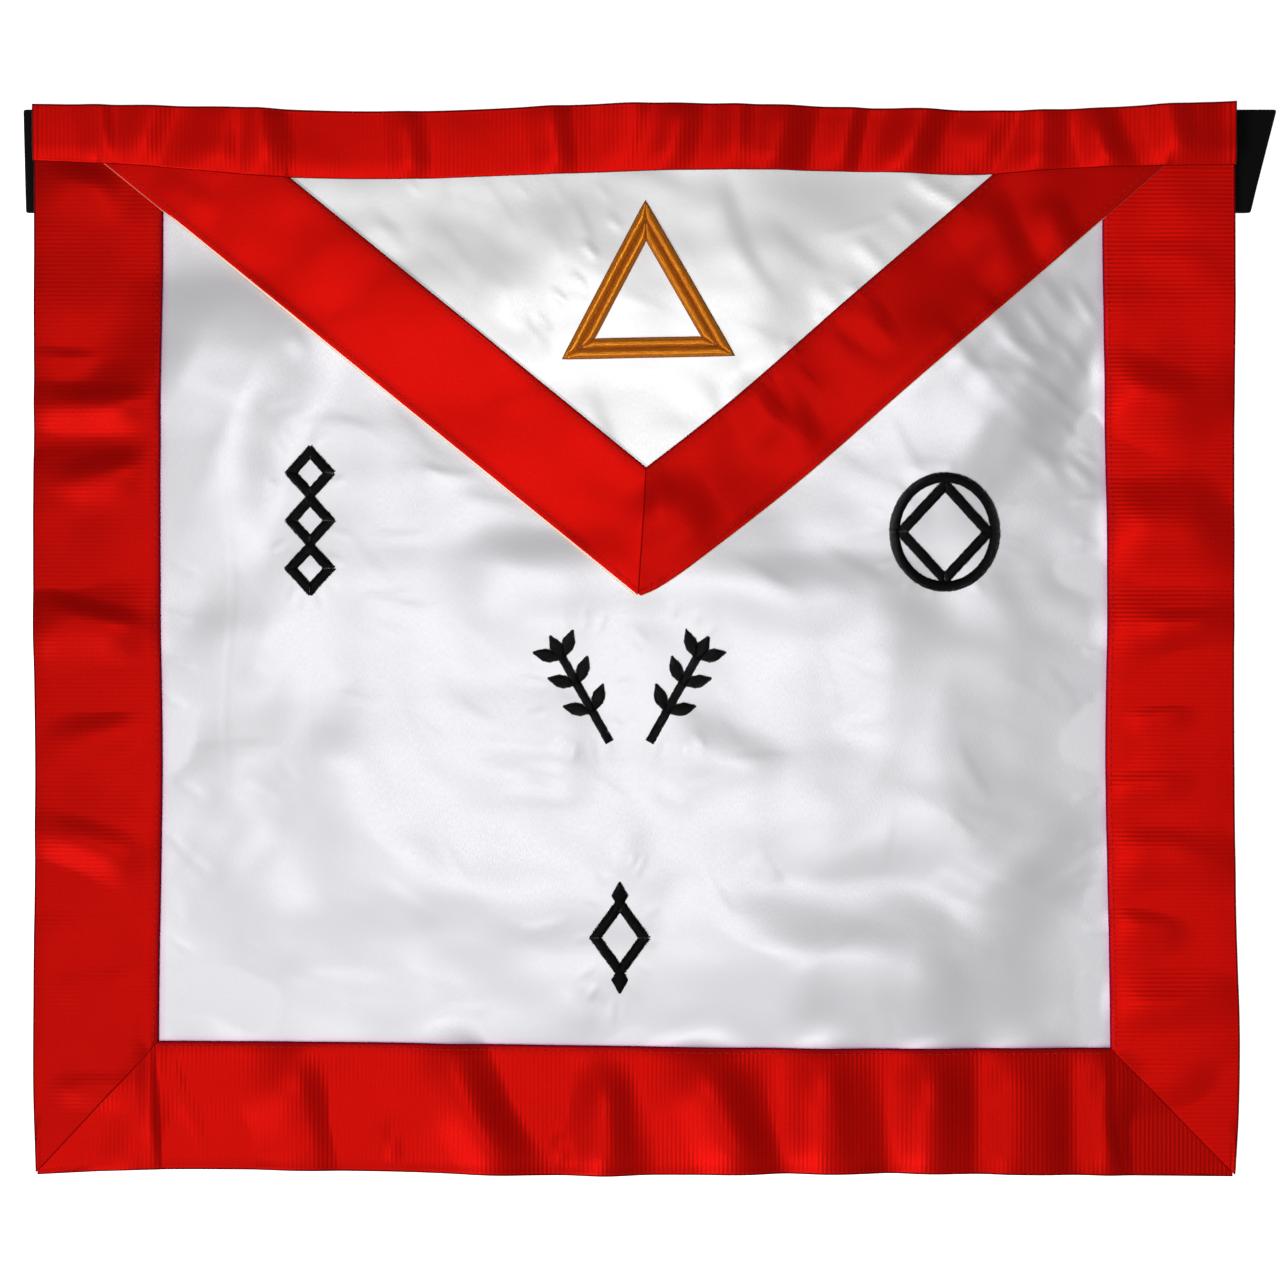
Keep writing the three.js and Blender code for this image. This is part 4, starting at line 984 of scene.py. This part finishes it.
def makeHemRibbon():
    corners = [cornerMitre(side) for side in (-1, 1)]
    step = ribbonForm["pitch"] / ribbonForm["steps"]
    x = np.arange(-halfWidth + 0.0012, halfWidth - 0.0012, step)
    low = hemY(x)
    high = hemSeamY(x)
    for outer, inner in corners:
        share = (x - outer[0]) / (inner[0] - outer[0])
        mitreY = outer[1] + (inner[1] - outer[1]) * share
        high = np.where(share < 1, np.minimum(high, mitreY), high)
    across = acrossShares(apron["border"], ribbonForm)
    y = high[:, None] + (low - high)[:, None] * across
    x = np.repeat(x[:, None], len(across), 1)
    aside = np.abs(hemSeamY(x) - y)
    borders = [("seam", aside), ("edge", y - low[:, None])]
    borders += [("mitre", fromLine(x, y, outer, inner)) for outer, inner in corners]
    # Painted shade towards the hem's right end
    shaded = sum(dark * ease((x - start) / run) for start, run, dark in hemPaintedShades)
    return ribbonPiece("ribbon_hem", np.dstack([x, y]), x, aside, onBody(x, y), hemRibbonForm, borders,
                       redCloths["hem"], shaded)


waistForm = {
    "bandStep": 0.002,  # run over which the band comes down past the end of a flap ribbon
    "edgeStep": 0.003,  # and past the flap itself
    "hug": 0.3,  # how far its lower edge follows what lies beneath, and over what distance
    "hugRun": 0.0035,
    "dark": 0.15,  # painted shade on its right half, and where that begins and ends
    "darkFrom": (0, 0.03),
    "darkTo": (0.14, 0.02),
}


def makeWaistRibbon():
    step = ribbonForm["pitch"] / ribbonForm["steps"]
    x = np.arange(float(leftX(halfHeight)), float(rightX(halfHeight)), step)
    low, high = waistSeamY(x), topY(x)
    across = acrossShares(apron["waistBand"], ribbonForm)
    y = low[:, None] + (high - low)[:, None] * across
    x = np.repeat(x[:, None], len(across), 1)
    aside = y - low[:, None]
    under = underWaistBand(x, y)
    edgeXs = [np.interp(low, flapLine(side, 0.0)[:, 1], flapLine(side, 0.0)[:, 0]) for side in (-1, 1)]
    fromFlap = np.maximum(edgeXs[0] - x[:, 0], x[:, 0] - edgeXs[1])[:, None]
    fromBand = np.minimum(x[:, 0] - bandTopLeft, bandTopRight - x[:, 0])[:, None]
    lift = (apron["ribbon"] + apron["gap"]) * ease(-fromBand / waistForm["bandStep"])
    beneath = onFlap(x, y) - apron["gap"] + lift
    beneath += (onBody(x, y) + apron["ribbon"] - beneath) * ease(fromFlap / waistForm["edgeStep"])
    hug = waistForm["hug"] * ease(1 - aside / waistForm["hugRun"])
    under = np.minimum(under, under - (under - beneath) * hug)
    borders = [("fold", aside), ("edge", high[:, None] - y), ("edge", x - x[0, 0]), ("edge", x[-1, 0] - x)]
    # Painted shade over the waist band's right half
    start, end = waistForm["darkFrom"], waistForm["darkTo"]
    shaded = waistForm["dark"] * ease((x - start[0]) / start[1]) * ease((end[0] - x) / end[1])
    return ribbonPiece("ribbon_waist", np.dstack([x, y]), x, aside, under, ribbonForm, borders,
                       redCloths["waist"], shaded)


def makeFlapRibbon(side):
    run, inwards = flapRun(side)
    length = np.hypot(*run)
    step = flapRibbonForm["pitch"] / flapRibbonForm["steps"]
    share = np.arange(0, length, step) / length
    base = flapEdge(side, share, np.zeros(share.shape))
    seamFrom, seamTo = flapMitre
    direction = seamTo - seamFrom
    away = base - seamFrom
    atMitre = -cross(away, direction) / cross(inwards, direction)
    endY = halfHeight - apron["waistBand"] + flap["hiddenEnd"]
    atEnd = (endY - base[:, 1]) / inwards[1]
    furthest = np.minimum(np.minimum(atMitre, bandInset), atEnd)
    kept = furthest > flap["rim"] + 0.0005
    share, furthest = share[kept], furthest[kept]
    pastBorder = fieldWidth / 2 - np.abs(flapEdge(side, share, np.zeros(share.shape))[:, 0])
    more = flap["shownRim"][0 if side < 0 else 1] - flap["rimOverBorder"]
    rim = (flap["rimOverBorder"] + more * ease(pastBorder / flap["rimRun"]))[:, None]
    across = acrossShares(flap["ribbon"], flapRibbonForm)
    inset = rim + (furthest[:, None] - rim) * across
    shares = np.repeat(share[:, None], len(across), 1)
    plan = flapEdge(side, shares, inset)
    x, y = plan[..., 0], plan[..., 1]
    borders = [("edge", inset - rim), ("seam", bandInset - inset), ("mitre", fromLine(x, y, *flapMitre))]
    name = "flap_ribbon_left" if side < 0 else "flap_ribbon_right"
    return ribbonPiece(name, plan, shares * length, inset, onFlap(x, y), flapRibbonForm, borders,
                       redCloths["flapLeft" if side < 0 else "flapRight"])


def makeFlapPanel():
    y = np.arange(flapTip[1] + satinForm["flapRim"], halfHeight - 0.004, satinForm["flapSteps"][0])
    lines = [flapLine(side, 0.0) for side in (-1, 1)]
    ends = [np.interp(y, line[:, 1], line[:, 0]) for line in lines]
    left = np.maximum(ends[0], leftX(y) + apron["turnUnder"])
    right = np.minimum(ends[1], rightX(y) - apron["turnUnder"])
    across = gridLines(apron["width"], satinForm["flapSteps"][1]) / apron["width"]
    x = left[:, None] + (right - left)[:, None] * across
    y = np.repeat(y[:, None], len(across), 1)
    fromEdge = np.minimum(x - left[:, None], right[:, None] - x) * satinForm["flapSlant"]
    under = underFlap(x, y)
    upper = onFlap(x, y) - apron["gap"] - rolled(fromEdge, *satinForm["flapEdge"])
    # Painted highlight along the flap's rim; over a border it is turned red
    paintedLight = ease(1.8 - fromEdge / satinForm["flapRim"])
    onBorder = (x < leftSeamX(y)) | (x > rightSeamX(y))
    marks = {"paintedLight": paintedLight, "reddened": paintedLight * onBorder * np.where(x < 0, *satinForm["reddened"])}
    piece = sheetPiece("satin_flap", np.dstack([x, y]), under, upper, marks)
    piece.data.materials.append(flapSatinPaintedLighter)
    return piece


body = makeBody()
ribbons = [makeSideRibbon(-1), makeSideRibbon(1), makeHemRibbon(), makeWaistRibbon()]
flapPanel = makeFlapPanel()
flapRibbons = [makeFlapRibbon(-1), makeFlapRibbon(1)]
print("cloth made")

embroidery = {
    "stroke": 0.0033,
    "pitch": 0.00038,
    "radius": 0.0002,
    "sides": 5,
    "rise": 0.0008,
    "goldBand": 0.0029,
    "goldRise": 0.0013,
    "goldLower": 0.0008,
    "goldTurn": 1.1,
    "groove": 0.0003,
    "pairClearance": 0.0086,
    "uneven": 0.00012,
    "unevenRun": 0.00095,
    "padding": (-0.0002, 0.0004),  # its underside and its top, from the flap's surface
    "outline": 0.00026,
}


# Threads laid across strokes. Each is a middle, the direction that it lies in, and its length.
class ThreadList:
    def __init__(self, seed):
        self.dice = np.random.RandomState(seed)
        self.rows = []

    def add(self, point, direction, low, high, full):
        spare = self.dice.uniform(-1, 1, 2) * embroidery["uneven"]
        low, high = low + spare[0], high + spare[1]
        if high - low > embroidery["radius"] * 2:
            self.rows.append((point, direction, low, high, min(1, (high - low) / full)))

    # Threads across a closed outline with straight sides, mitred at its corners
    def polygon(self, corners, width):
        corners = [np.array(c) for c in corners]
        count = len(corners)
        for i in range(count):
            a, b = corners[i], corners[(i + 1) % count]
            length = np.hypot(*(b - a))
            along = (b - a) / length
            outwards = np.array([along[1], -along[0]])
            halfTurns = []
            for here, there, other in ((a, b, corners[i - 1]), (b, a, corners[(i + 2) % count])):
                u, v = there - here, other - here
                cosine = u @ v / (np.hypot(*u) * np.hypot(*v))
                halfTurns.append(math.tan(math.acos(cosine) / 2))
            start, end = -width / 2 / halfTurns[0], length + width / 2 / halfTurns[1]
            for t in np.arange(start, end, embroidery["pitch"]):
                low = max(-width / 2, -t * halfTurns[0], -(length - t) * halfTurns[1])
                high = width / 2 + embroidery["uneven"] * math.sin(2 * math.pi * t / embroidery["unevenRun"])
                self.add(a + along * t, outwards, low, high, width)

    # Threads across a straight line, with a width that changes along it
    def line(self, a, b, widthAt):
        a, b = np.array(a), np.array(b)
        length = np.hypot(*(b - a))
        along = (b - a) / length
        aside = np.array([-along[1], along[0]])
        for t in np.arange(embroidery["pitch"] / 2, length, embroidery["pitch"]):
            width = widthAt(t / length)
            self.add(a + along * t, aside, -width / 2, width / 2, embroidery["stroke"])

    def ring(self, middle, radiusX, radiusY, width):
        turns = round(math.pi * (radiusX + radiusY) / embroidery["pitch"])
        for i in range(turns):
            turn = 2 * math.pi * i / turns
            point = np.array(middle) + [radiusX * math.cos(turn), radiusY * math.sin(turn)]
            outwards = np.array([math.cos(turn) / radiusX, math.sin(turn) / radiusY])
            self.add(point, outwards / np.hypot(*outwards), -width / 2, width / 2, width)

    def piece(self, name, base, rise, cloth):
        profile = np.array([-1, -0.88, -0.6, -0.22, 0.22, 0.6, 0.88, 1])
        arch = (1 - np.abs(profile) ** 2.6) ** 0.7
        points, directions = [np.array([row[k] for row in self.rows])[:, None] for k in (0, 1)]
        low, high, fullness = [np.array([row[k] for row in self.rows])[:, None] for k in (2, 3, 4)]
        reach = (low + high) / 2 + profile * (high - low) / 2
        plan = points + reach[..., None] * directions
        z = base(plan[..., 0], plan[..., 1]) + rise * fullness * arch
        points = np.dstack([plan, z]).reshape(-1, 3)
        starts = np.arange(len(points)).reshape(z.shape)
        links = np.stack([starts[:, :-1], starts[:, 1:]], -1).reshape(-1, 2).tolist()
        return threadPiece(name, points, links, embroidery["radius"], cloth)


def threadPiece(name, points, links, radius, cloth):
    piece = meshPiece(name, points, [], {}, links)
    return grow(piece, threads, Radius=radius, Sides=embroidery["sides"], Material=cloth)


def bodySurface(x, y):
    return ground(x, y) + apron["satin"]


def flapSurface(x, y):
    return onFlap(x, y) - apron["gap"]


# The centre line of a rhombus's stroke whose outer corners are at the given half sizes
def rhombusLine(x, y, halfX, halfY):
    slant = embroidery["stroke"] / 2 * math.hypot(halfX, halfY)
    innerX, innerY = halfX - slant / halfY, halfY - slant / halfX
    return [(x + innerX, y), (x, y + innerY), (x - innerX, y), (x, y - innerY)]


def lozengeChain(stitches, x, y, width, height):
    stroke = embroidery["stroke"]
    link = (height + 2 * stroke) / 3
    for k in (-1, 0, 1):
        stitches.polygon(rhombusLine(x, y + k * (link - stroke), width / 2, link / 2), stroke)


def ringAndLozenge(stitches, x, y, width, height):
    stroke = embroidery["stroke"]
    stitches.polygon(rhombusLine(x, y, (width - stroke) / 2, (height - stroke) / 2), stroke)
    stitches.ring((x, y), (width - stroke) / 2, (height - stroke) / 2, stroke)


sprigForm = {"stem": 0.85, "leafBreadth": 1.25, "leaf": 0.27, "root": 0.08, "degrees": 48,
             "pairs": (0.34, 0.66, 0.96)}


def sprig(stitches, x, y, width, height, lean):
    stroke = embroidery["stroke"]
    leafLength = height * sprigForm["leaf"]
    foot = np.array([x + lean * (width / 2 - stroke), y - height / 2])
    tip = np.array([x - lean * width / 4, y + height / 2 - leafLength])
    stem = tip - foot
    turn = math.atan2(stem[1], stem[0])
    stitches.line(foot, tip, lambda t: stroke * sprigForm["stem"])
    leaves = [(share, side * sprigForm["degrees"]) for share in sprigForm["pairs"] for side in (-1, 1)]
    for share, degrees in [*leaves, (1 - sprigForm["root"], 0)]:
        root = foot + stem * share
        angle = turn + math.radians(degrees)
        end = root + leafLength * np.array([math.cos(angle), math.sin(angle)])
        breadth = stroke * sprigForm["leafBreadth"]
        stitches.line(root, end, lambda t: breadth * min(1, 2.6 * min(t, 1 - t)))


def leftSprig(stitches, x, y, width, height):
    sprig(stitches, x, y, width, height, 1)


def rightSprig(stitches, x, y, width, height):
    sprig(stitches, x, y, width, height, -1)


def tallLozenge(stitches, x, y, width, height):
    stroke = embroidery["stroke"]
    finial = height * 0.13
    stitches.polygon(rhombusLine(x, y, width / 2, height / 2 - finial), stroke)
    for end in (-1, 1):
        middle = y + end * (height / 2 - finial)
        breadth = 2 * stroke * sprigForm["stem"]
        stitches.line((x, middle - finial), (x, middle + finial), lambda t: breadth * (1 - abs(2 * t - 1)))


# name, node, form, x and y of the middle, width and height, as shares of the satin field
motifs = [
    ("stitched_left", "ornament_left", lozengeChain, -0.343, 0.1, 0.055, 0.174),
    ("stitched_right", "ornament_right", ringAndLozenge, 0.327, 0.087, 0.117, 0.135),
    ("stitched_centre_left", "ornament_centre_left", leftSprig, -0.0575, None, 0.0825, 0.135),
    ("stitched_centre_right", "ornament_centre_right", rightSprig, 0.046, None, 0.0825, 0.135),
    ("stitched_bottom", "ornament_bottom", tallLozenge, -0.016, -0.374, 0.065, 0.13),
]
ornaments = {}
for seed, (name, node, form, shareX, shareY, shareWidth, shareHeight) in enumerate(motifs):
    width, height = shareWidth * fieldWidth, shareHeight * fieldHeight
    if shareY is None:
        middleY = flapTip[1] - embroidery["pairClearance"] - height / 2
    else:
        middleY = fieldMiddle + shareY * fieldHeight
    stitches = ThreadList(seed)
    form(stitches, shareX * fieldWidth, middleY, width, height)
    ornaments[node] = stitches.piece(name, bodySurface, embroidery["rise"], blackThread)

# The gold triangle, placed by the white of the flap
flapFieldDepth = float(waistSeamY(0)) - flapMitre[1][1]
goldBase, goldHeight = 0.57 * flapFieldDepth, 0.516 * flapFieldDepth
goldMiddle = (flap["tipShift"] + 0.03 * flapFieldDepth, float(waistSeamY(0)) - 0.36 * flapFieldDepth)


def goldCorners(inset):
    slope = math.hypot(goldBase / 2, goldHeight)
    low = -goldHeight / 2 + inset - embroidery["goldLower"]
    high = goldHeight / 2 - inset * slope / (goldBase / 2)
    half = (high - low) * goldBase / 2 / goldHeight
    turn = math.radians(embroidery["goldTurn"])
    return [
        (goldMiddle[0] + px * math.cos(turn) - py * math.sin(turn),
         goldMiddle[1] + px * math.sin(turn) + py * math.cos(turn))
        for px, py in ((-half, low), (half, low), (0, high))
    ]


gold = {}
for seed, (node, inset) in enumerate([
    ("gold_triangle_outer", embroidery["goldBand"] / 2),
    ("gold_triangle_inner", embroidery["goldBand"] * 1.5 + embroidery["groove"]),
]):
    stitches = ThreadList(20 + seed)
    stitches.polygon(goldCorners(inset), embroidery["goldBand"])
    gold[node] = stitches.piece(node.replace("triangle", "threads"), flapSurface, embroidery["goldRise"],
                                goldThread)


def goldLoop(inset, lift, count):
    corners = [np.array(c) for c in goldCorners(inset)]
    t = np.linspace(0, 1, count, endpoint=False)[:, None]
    loop = np.concatenate([a + (b - a) * t for a, b in zip(corners, corners[1:] + corners[:1])])
    return np.column_stack([loop, flapSurface(loop[:, 0], loop[:, 1]) + lift])


# Low padding beneath the gold, so that no satin shows between its rows
def makePadding():
    low, high = embroidery["padding"]
    innerInset = 2 * embroidery["goldBand"]
    rows = ((0, low), (0, high), (innerInset, high), (innerInset, low))
    loops = [goldLoop(inset, lift, 40) for inset, lift in rows]
    count = len(loops[0])
    faces = [(a * count + k, a * count + (k + 1) % count, (a + 1) % 4 * count + (k + 1) % count,
              (a + 1) % 4 * count + k) for a in range(4) for k in range(count)]
    padding = meshPiece("gold_padding", np.concatenate(loops), faces, {})
    padding.data.materials.append(outlineThread)
    return padding


# A thin dark thread round the outside of the gold, one in its groove and one inside
def makeOutline():
    points, links = [], []
    inside = 2 * embroidery["goldBand"] + embroidery["groove"]
    rows = ((-0.00012, 0.00015), (embroidery["goldBand"] + embroidery["groove"] / 2, 0.00045),
            (inside + 0.0001, 0.00012))
    for inset, lift in rows:
        loop = goldLoop(inset, lift, 24)
        start, count = len(points), len(loop)
        points += loop.tolist()
        links += [(start + k, start + (k + 1) % count) for k in range(count)]
    return threadPiece("gold_outline", points, links, embroidery["outline"], outlineThread)


goldPadding = makePadding()
goldOutline = makeOutline()
print("embroidery made")


# Stitches along the seams: short threads that come up out of the cloth and go down again
topstitch = {"length": 0.0023, "space": 0.0005, "radius": 0.00011, "rise": 0.00016, "inside": 0.0017}


def stitchLine(points, links, plan, surface):
    steps = np.hypot(*np.diff(plan, axis=0).T)
    distance = np.concatenate([[0], np.cumsum(steps)])
    period = topstitch["length"] + topstitch["space"]
    first = np.arange(int(distance[-1] / period))[:, None] * period
    at = first + np.array([0, 0.18, 0.5, 0.82, 1]) * topstitch["length"]
    x, y = np.interp(at, distance, plan[:, 0]), np.interp(at, distance, plan[:, 1])
    z = surface(x, y) + topstitch["rise"] * np.array([-1, 0.6, 1, 0.6, -1])
    for stitch in np.dstack([x, y, z]):
        start = len(points)
        points += stitch.tolist()
        links += [(start + j, start + j + 1) for j in range(4)]


def seamStitches():
    points, links = [], []
    inside = topstitch["inside"]
    fallen = rolled(inside, *ribbonForm["seam"][:2])

    def overBody(x, y):
        return onBody(x, y) + apron["ribbon"] - fallen

    def overFlap(x, y):
        return onFlap(x, y) + apron["ribbon"] - fallen

    low, high = -halfHeight + apron["border"], halfHeight - apron["waistBand"] - 0.004
    y = np.linspace(low, high, 200)
    stitchLine(points, links, np.stack([leftSeamX(y) - inside, y], -1), overBody)
    stitchLine(points, links, np.stack([rightSeamX(y) + inside, y], -1), overBody)
    x = np.linspace(-halfWidth + apron["border"], halfWidth - apron["border"], 200)
    stitchLine(points, links, np.stack([x, hemSeamY(x) - inside], -1), overBody)
    for side in (-1, 1):
        for inset in (flap["rim"] + inside, bandInset - inside):
            line = flapLine(side, inset)
            kept = line[:, 1] < halfHeight - apron["waistBand"]
            kept &= (line[:, 0] - flapTip[0]) * side > 0.0015
            stitchLine(points, links, line[kept], overFlap)
    return threadPiece("seam_stitches", points, links, topstitch["radius"], redThread)


seams = seamStitches()
print("seams stitched")


# One half of the belt: sewn under the corner, folded back outside it, then behind the apron
webbing = {"step": 0.0004, "pitch": 0.0016, "depth": 0.00009}


def beltPath(reach):
    radius = lowerRun / 2
    foldX = halfWidth + reach - radius - belt["thick"] / 2
    foldZ = belt["thick"] / 2 + radius
    path = [(x, foldZ + radius, 0, 1) for x in np.linspace(halfWidth - belt["sewn"], foldX, 60)[:-1]]
    for turn in np.linspace(math.pi / 2, -math.pi / 2, 14):
        faceX, faceZ = math.cos(turn), math.sin(turn)
        path.append((foldX + radius * faceX, foldZ + radius * faceZ, faceX, faceZ))
    flatEnd = belt["claspLength"] / 2 + belt["claspRamp"]
    pocketEnd = belt["claspLength"] / 2 - belt["claspPocket"] + apron["gap"]
    count = round((foldX - flatEnd) / webbing["step"])
    path += [(x, belt["thick"] / 2, 0, -1) for x in np.linspace(foldX, flatEnd, count)[1:]]
    for x in np.linspace(flatEnd, pocketEnd, 60)[1:]:
        climb = ease((flatEnd - x) / belt["claspRamp"])
        path.append((x, belt["thick"] / 2 + (claspHeight - belt["thick"]) / 2 * climb, 0, -1))
    return np.array(path, float)


def makeBelt(side, fold):
    ends = [beltPath(fold[0]), beltPath(fold[1])]
    size = min(len(ends[0]), len(ends[1]))
    ends = [np.stack([np.interp(np.linspace(0, 1, size), np.linspace(0, 1, len(end)), end[:, k])
                      for k in range(4)], -1) for end in ends]
    across = gridLines(belt["width"], 0.004, (0, 0.00012, 0.00035, 0.0007))
    share = across / belt["width"]
    middle = ends[0][:, None] * (1 - share)[None, :, None] + ends[1][:, None] * share[None, :, None]
    x, z, faceX, faceZ = [middle[..., k] for k in range(4)]
    sag = belt["sag"] * ease((halfWidth - x) / belt["sagRun"])
    y = beltTop - across[None, :] - np.where(faceZ < 0, sag, 0)
    fromEdge = np.minimum(across, belt["width"] - across)
    half = belt["thick"] / 2 - rolled(fromEdge, 0.0004, 0.0007)[None, :]
    outer = np.stack([side * (x + half * faceX), y, z + half * faceZ], -1)
    inner = np.stack([side * (x - half * faceX), y, z - half * faceZ], -1)
    loops = np.concatenate([outer, inner[:, ::-1]], 1)
    stations, ring = loops.shape[:2]
    steps = np.linalg.norm(np.diff(loops[:, ring // 4], axis=0), axis=1)
    along = np.repeat(np.concatenate([[0], np.cumsum(steps)])[:, None], ring, 1)
    aside = np.repeat(np.concatenate([across, across[::-1]])[None], stations, 0)
    flat = ease(np.concatenate([fromEdge, fromEdge[::-1]]) / 0.001)
    number = np.arange(stations * ring).reshape(stations, ring)
    after = np.roll(number, -1, 1)
    faces = np.stack([number[:-1], after[:-1], after[1:], number[1:]], -1).reshape(-1, 4).tolist()
    faces += [number[0][::-1].tolist(), number[-1].tolist()]
    if side > 0:
        faces = [face[::-1] for face in faces]
    marks = {"along": along, "aside": aside, "seam": np.zeros(along.shape), "paintedShade": np.zeros(along.shape),
             "ribbed": np.repeat(flat[None], stations, 0)}
    name = "webbing_left" if side < 0 else "webbing_right"
    piece = meshPiece(name, loops.reshape(-1, 3), faces, marks)
    return grow(piece, ribs, Pitch=webbing["pitch"], Depth=webbing["depth"], Unevenness=0.0,
                Material=webbingCloth)


beltHalves = [makeBelt(-1, belt["leftFold"]), makeBelt(1, belt["rightFold"])]

claspMetal, claspTree, claspShader = material("brushed metal", (0.45, 0.46, 0.47), 0.34, Metallic=1.0)
claspPlace = treeNode(claspTree, "ShaderNodeTexCoord").outputs["Object"]
textured(claspTree, claspShader, streaks(claspTree, claspPlace, (300, 9000, 300), 2.0), 0.34, 0.08, 0.00002)
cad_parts["belt_clasp"].data.materials.clear()
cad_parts["belt_clasp"].data.materials.append(claspMetal)
print("belt made")

for piece in (body, flapPanel, *ribbons, *flapRibbons, *beltHalves):
    piece.data.set_sharp_from_angle(angle=math.radians(50))

# What each piece rides on, stands for and is cut from
ribbonLength = float(np.hypot(*flapRun(-1)[0]))
mitreLost = apron["border"] ** 2 / 2
bandArea = flap["ribbon"] * ribbonLength * 0.86  # less what its mitre and its end under the waist take
cloths = [
    (body, "body_panel", "white_satin", (apron["width"], apron["height"]), None, ()),
    (ribbons[0], "border_left", "red_ribbon", (apron["border"], apron["height"]),
     apron["border"] * apron["height"] - mitreLost, (body,)),
    (ribbons[1], "border_right", "red_ribbon", (apron["border"], apron["height"]),
     apron["border"] * apron["height"] - mitreLost, (body,)),
    (ribbons[2], "border_bottom", "red_ribbon", (apron["width"], apron["border"]),
     apron["border"] * apron["width"] - 2 * mitreLost, (body,)),
    (ribbons[3], "waist_band", "red_ribbon", (apron["width"], apron["waistBand"]), None, (flapPanel,)),
    (flapPanel, "flap_panel", "white_satin", (apron["width"], flap["drop"]),
     apron["width"] * flap["drop"] / 2, (body,)),
    (flapRibbons[0], "flap_band_left", "red_ribbon", (flap["ribbon"], ribbonLength),
     bandArea, (flapPanel,)),
    (flapRibbons[1], "flap_band_right", "red_ribbon", (flap["ribbon"], ribbonLength),
     bandArea, (flapPanel,)),
]
for piece, node, slot, flat, area, restsOn in cloths:
    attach(piece, "root")
    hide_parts(node)

others = [(piece, node, "black_thread") for node, piece in ornaments.items()]
others += [(piece, node, "gold_thread") for node, piece in gold.items()]
others += [(beltHalves[0], "belt_left", "black_webbing"), (beltHalves[1], "belt_right", "black_webbing")]
for piece, node, slot in others:
    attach(piece, "root")
    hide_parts(node)
for piece, slot in ((goldOutline, "gold_thread"), (goldPadding, "gold_thread"), (seams, "red_ribbon")):
    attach(piece, "root")

# The floor, the lights and the camera
studio = {
    "floorSize": 6.0,
    "floorGap": 0.0002,
    "world": 0.15,
    "cameraHeight": 1.185,
    "cameraLens": 100.0,
    "cameraOver": (0.00166, 0.00017),  # the point of the apron under the camera
}
lights = [
    ("key", (-1.15, -1.4, 1.6), 0.8, 36.5),
    ("overhead", (-0.08, -0.05, 1.6), 0.3, 9.0),
]

half = studio["floorSize"] / 2
floorMesh = bpy.data.meshes.new("floor")
floorMesh.from_pydata(
    [(x * half, y * half, -studio["floorGap"]) for x, y in ((-1, -1), (1, -1), (1, 1), (-1, 1))], [],
    [(0, 1, 2, 3)])
floor = bpy.data.objects.new("floor", floorMesh)
bpy.context.scene.collection.objects.link(floor)
floorPaint, _, floorShader = material("floor", (0.93, 0.93, 0.93), 0.9, Specular_IOR_Level=0.1)
floorShader.inputs["Emission Color"].default_value = (1, 1, 1, 1)
floorShader.inputs["Emission Strength"].default_value = 0.7
floorMesh.materials.append(floorPaint)
floor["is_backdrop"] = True

world = bpy.data.worlds.new("studio")
world.use_nodes = True
world.node_tree.nodes["Background"].inputs["Color"].default_value = (1, 1, 1, 1)
world.node_tree.nodes["Background"].inputs["Strength"].default_value = studio["world"]
bpy.context.scene.world = world


def aimed(thing, place, target):
    direction = np.array(target) - np.array(place)
    flatLength = math.hypot(direction[0], direction[1])
    thing.location = place
    thing.rotation_euler = (math.atan2(flatLength, -direction[2]), 0,
                            math.atan2(direction[1], direction[0]) - math.pi / 2)
    bpy.context.scene.collection.objects.link(thing)


for name, place, size, power in lights:
    lamp = bpy.data.lights.new(name, "AREA")
    lamp.shape = "DISK"
    lamp.size = size
    lamp.energy = power
    aimed(bpy.data.objects.new(name, lamp), place, (0, 0, 0))

camera = bpy.data.objects.new("camera", bpy.data.cameras.new("camera"))
camera.data.lens = studio["cameraLens"]
camera.data.clip_start = 0.05
camera.location = (studio["cameraOver"][0] + shift[0], studio["cameraOver"][1] + shift[1],
                   studio["cameraHeight"])
bpy.context.scene.collection.objects.link(camera)
bpy.context.scene.camera = camera
bpy.context.scene.view_settings.view_transform = "Standard"

low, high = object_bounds()
print("scene ready")
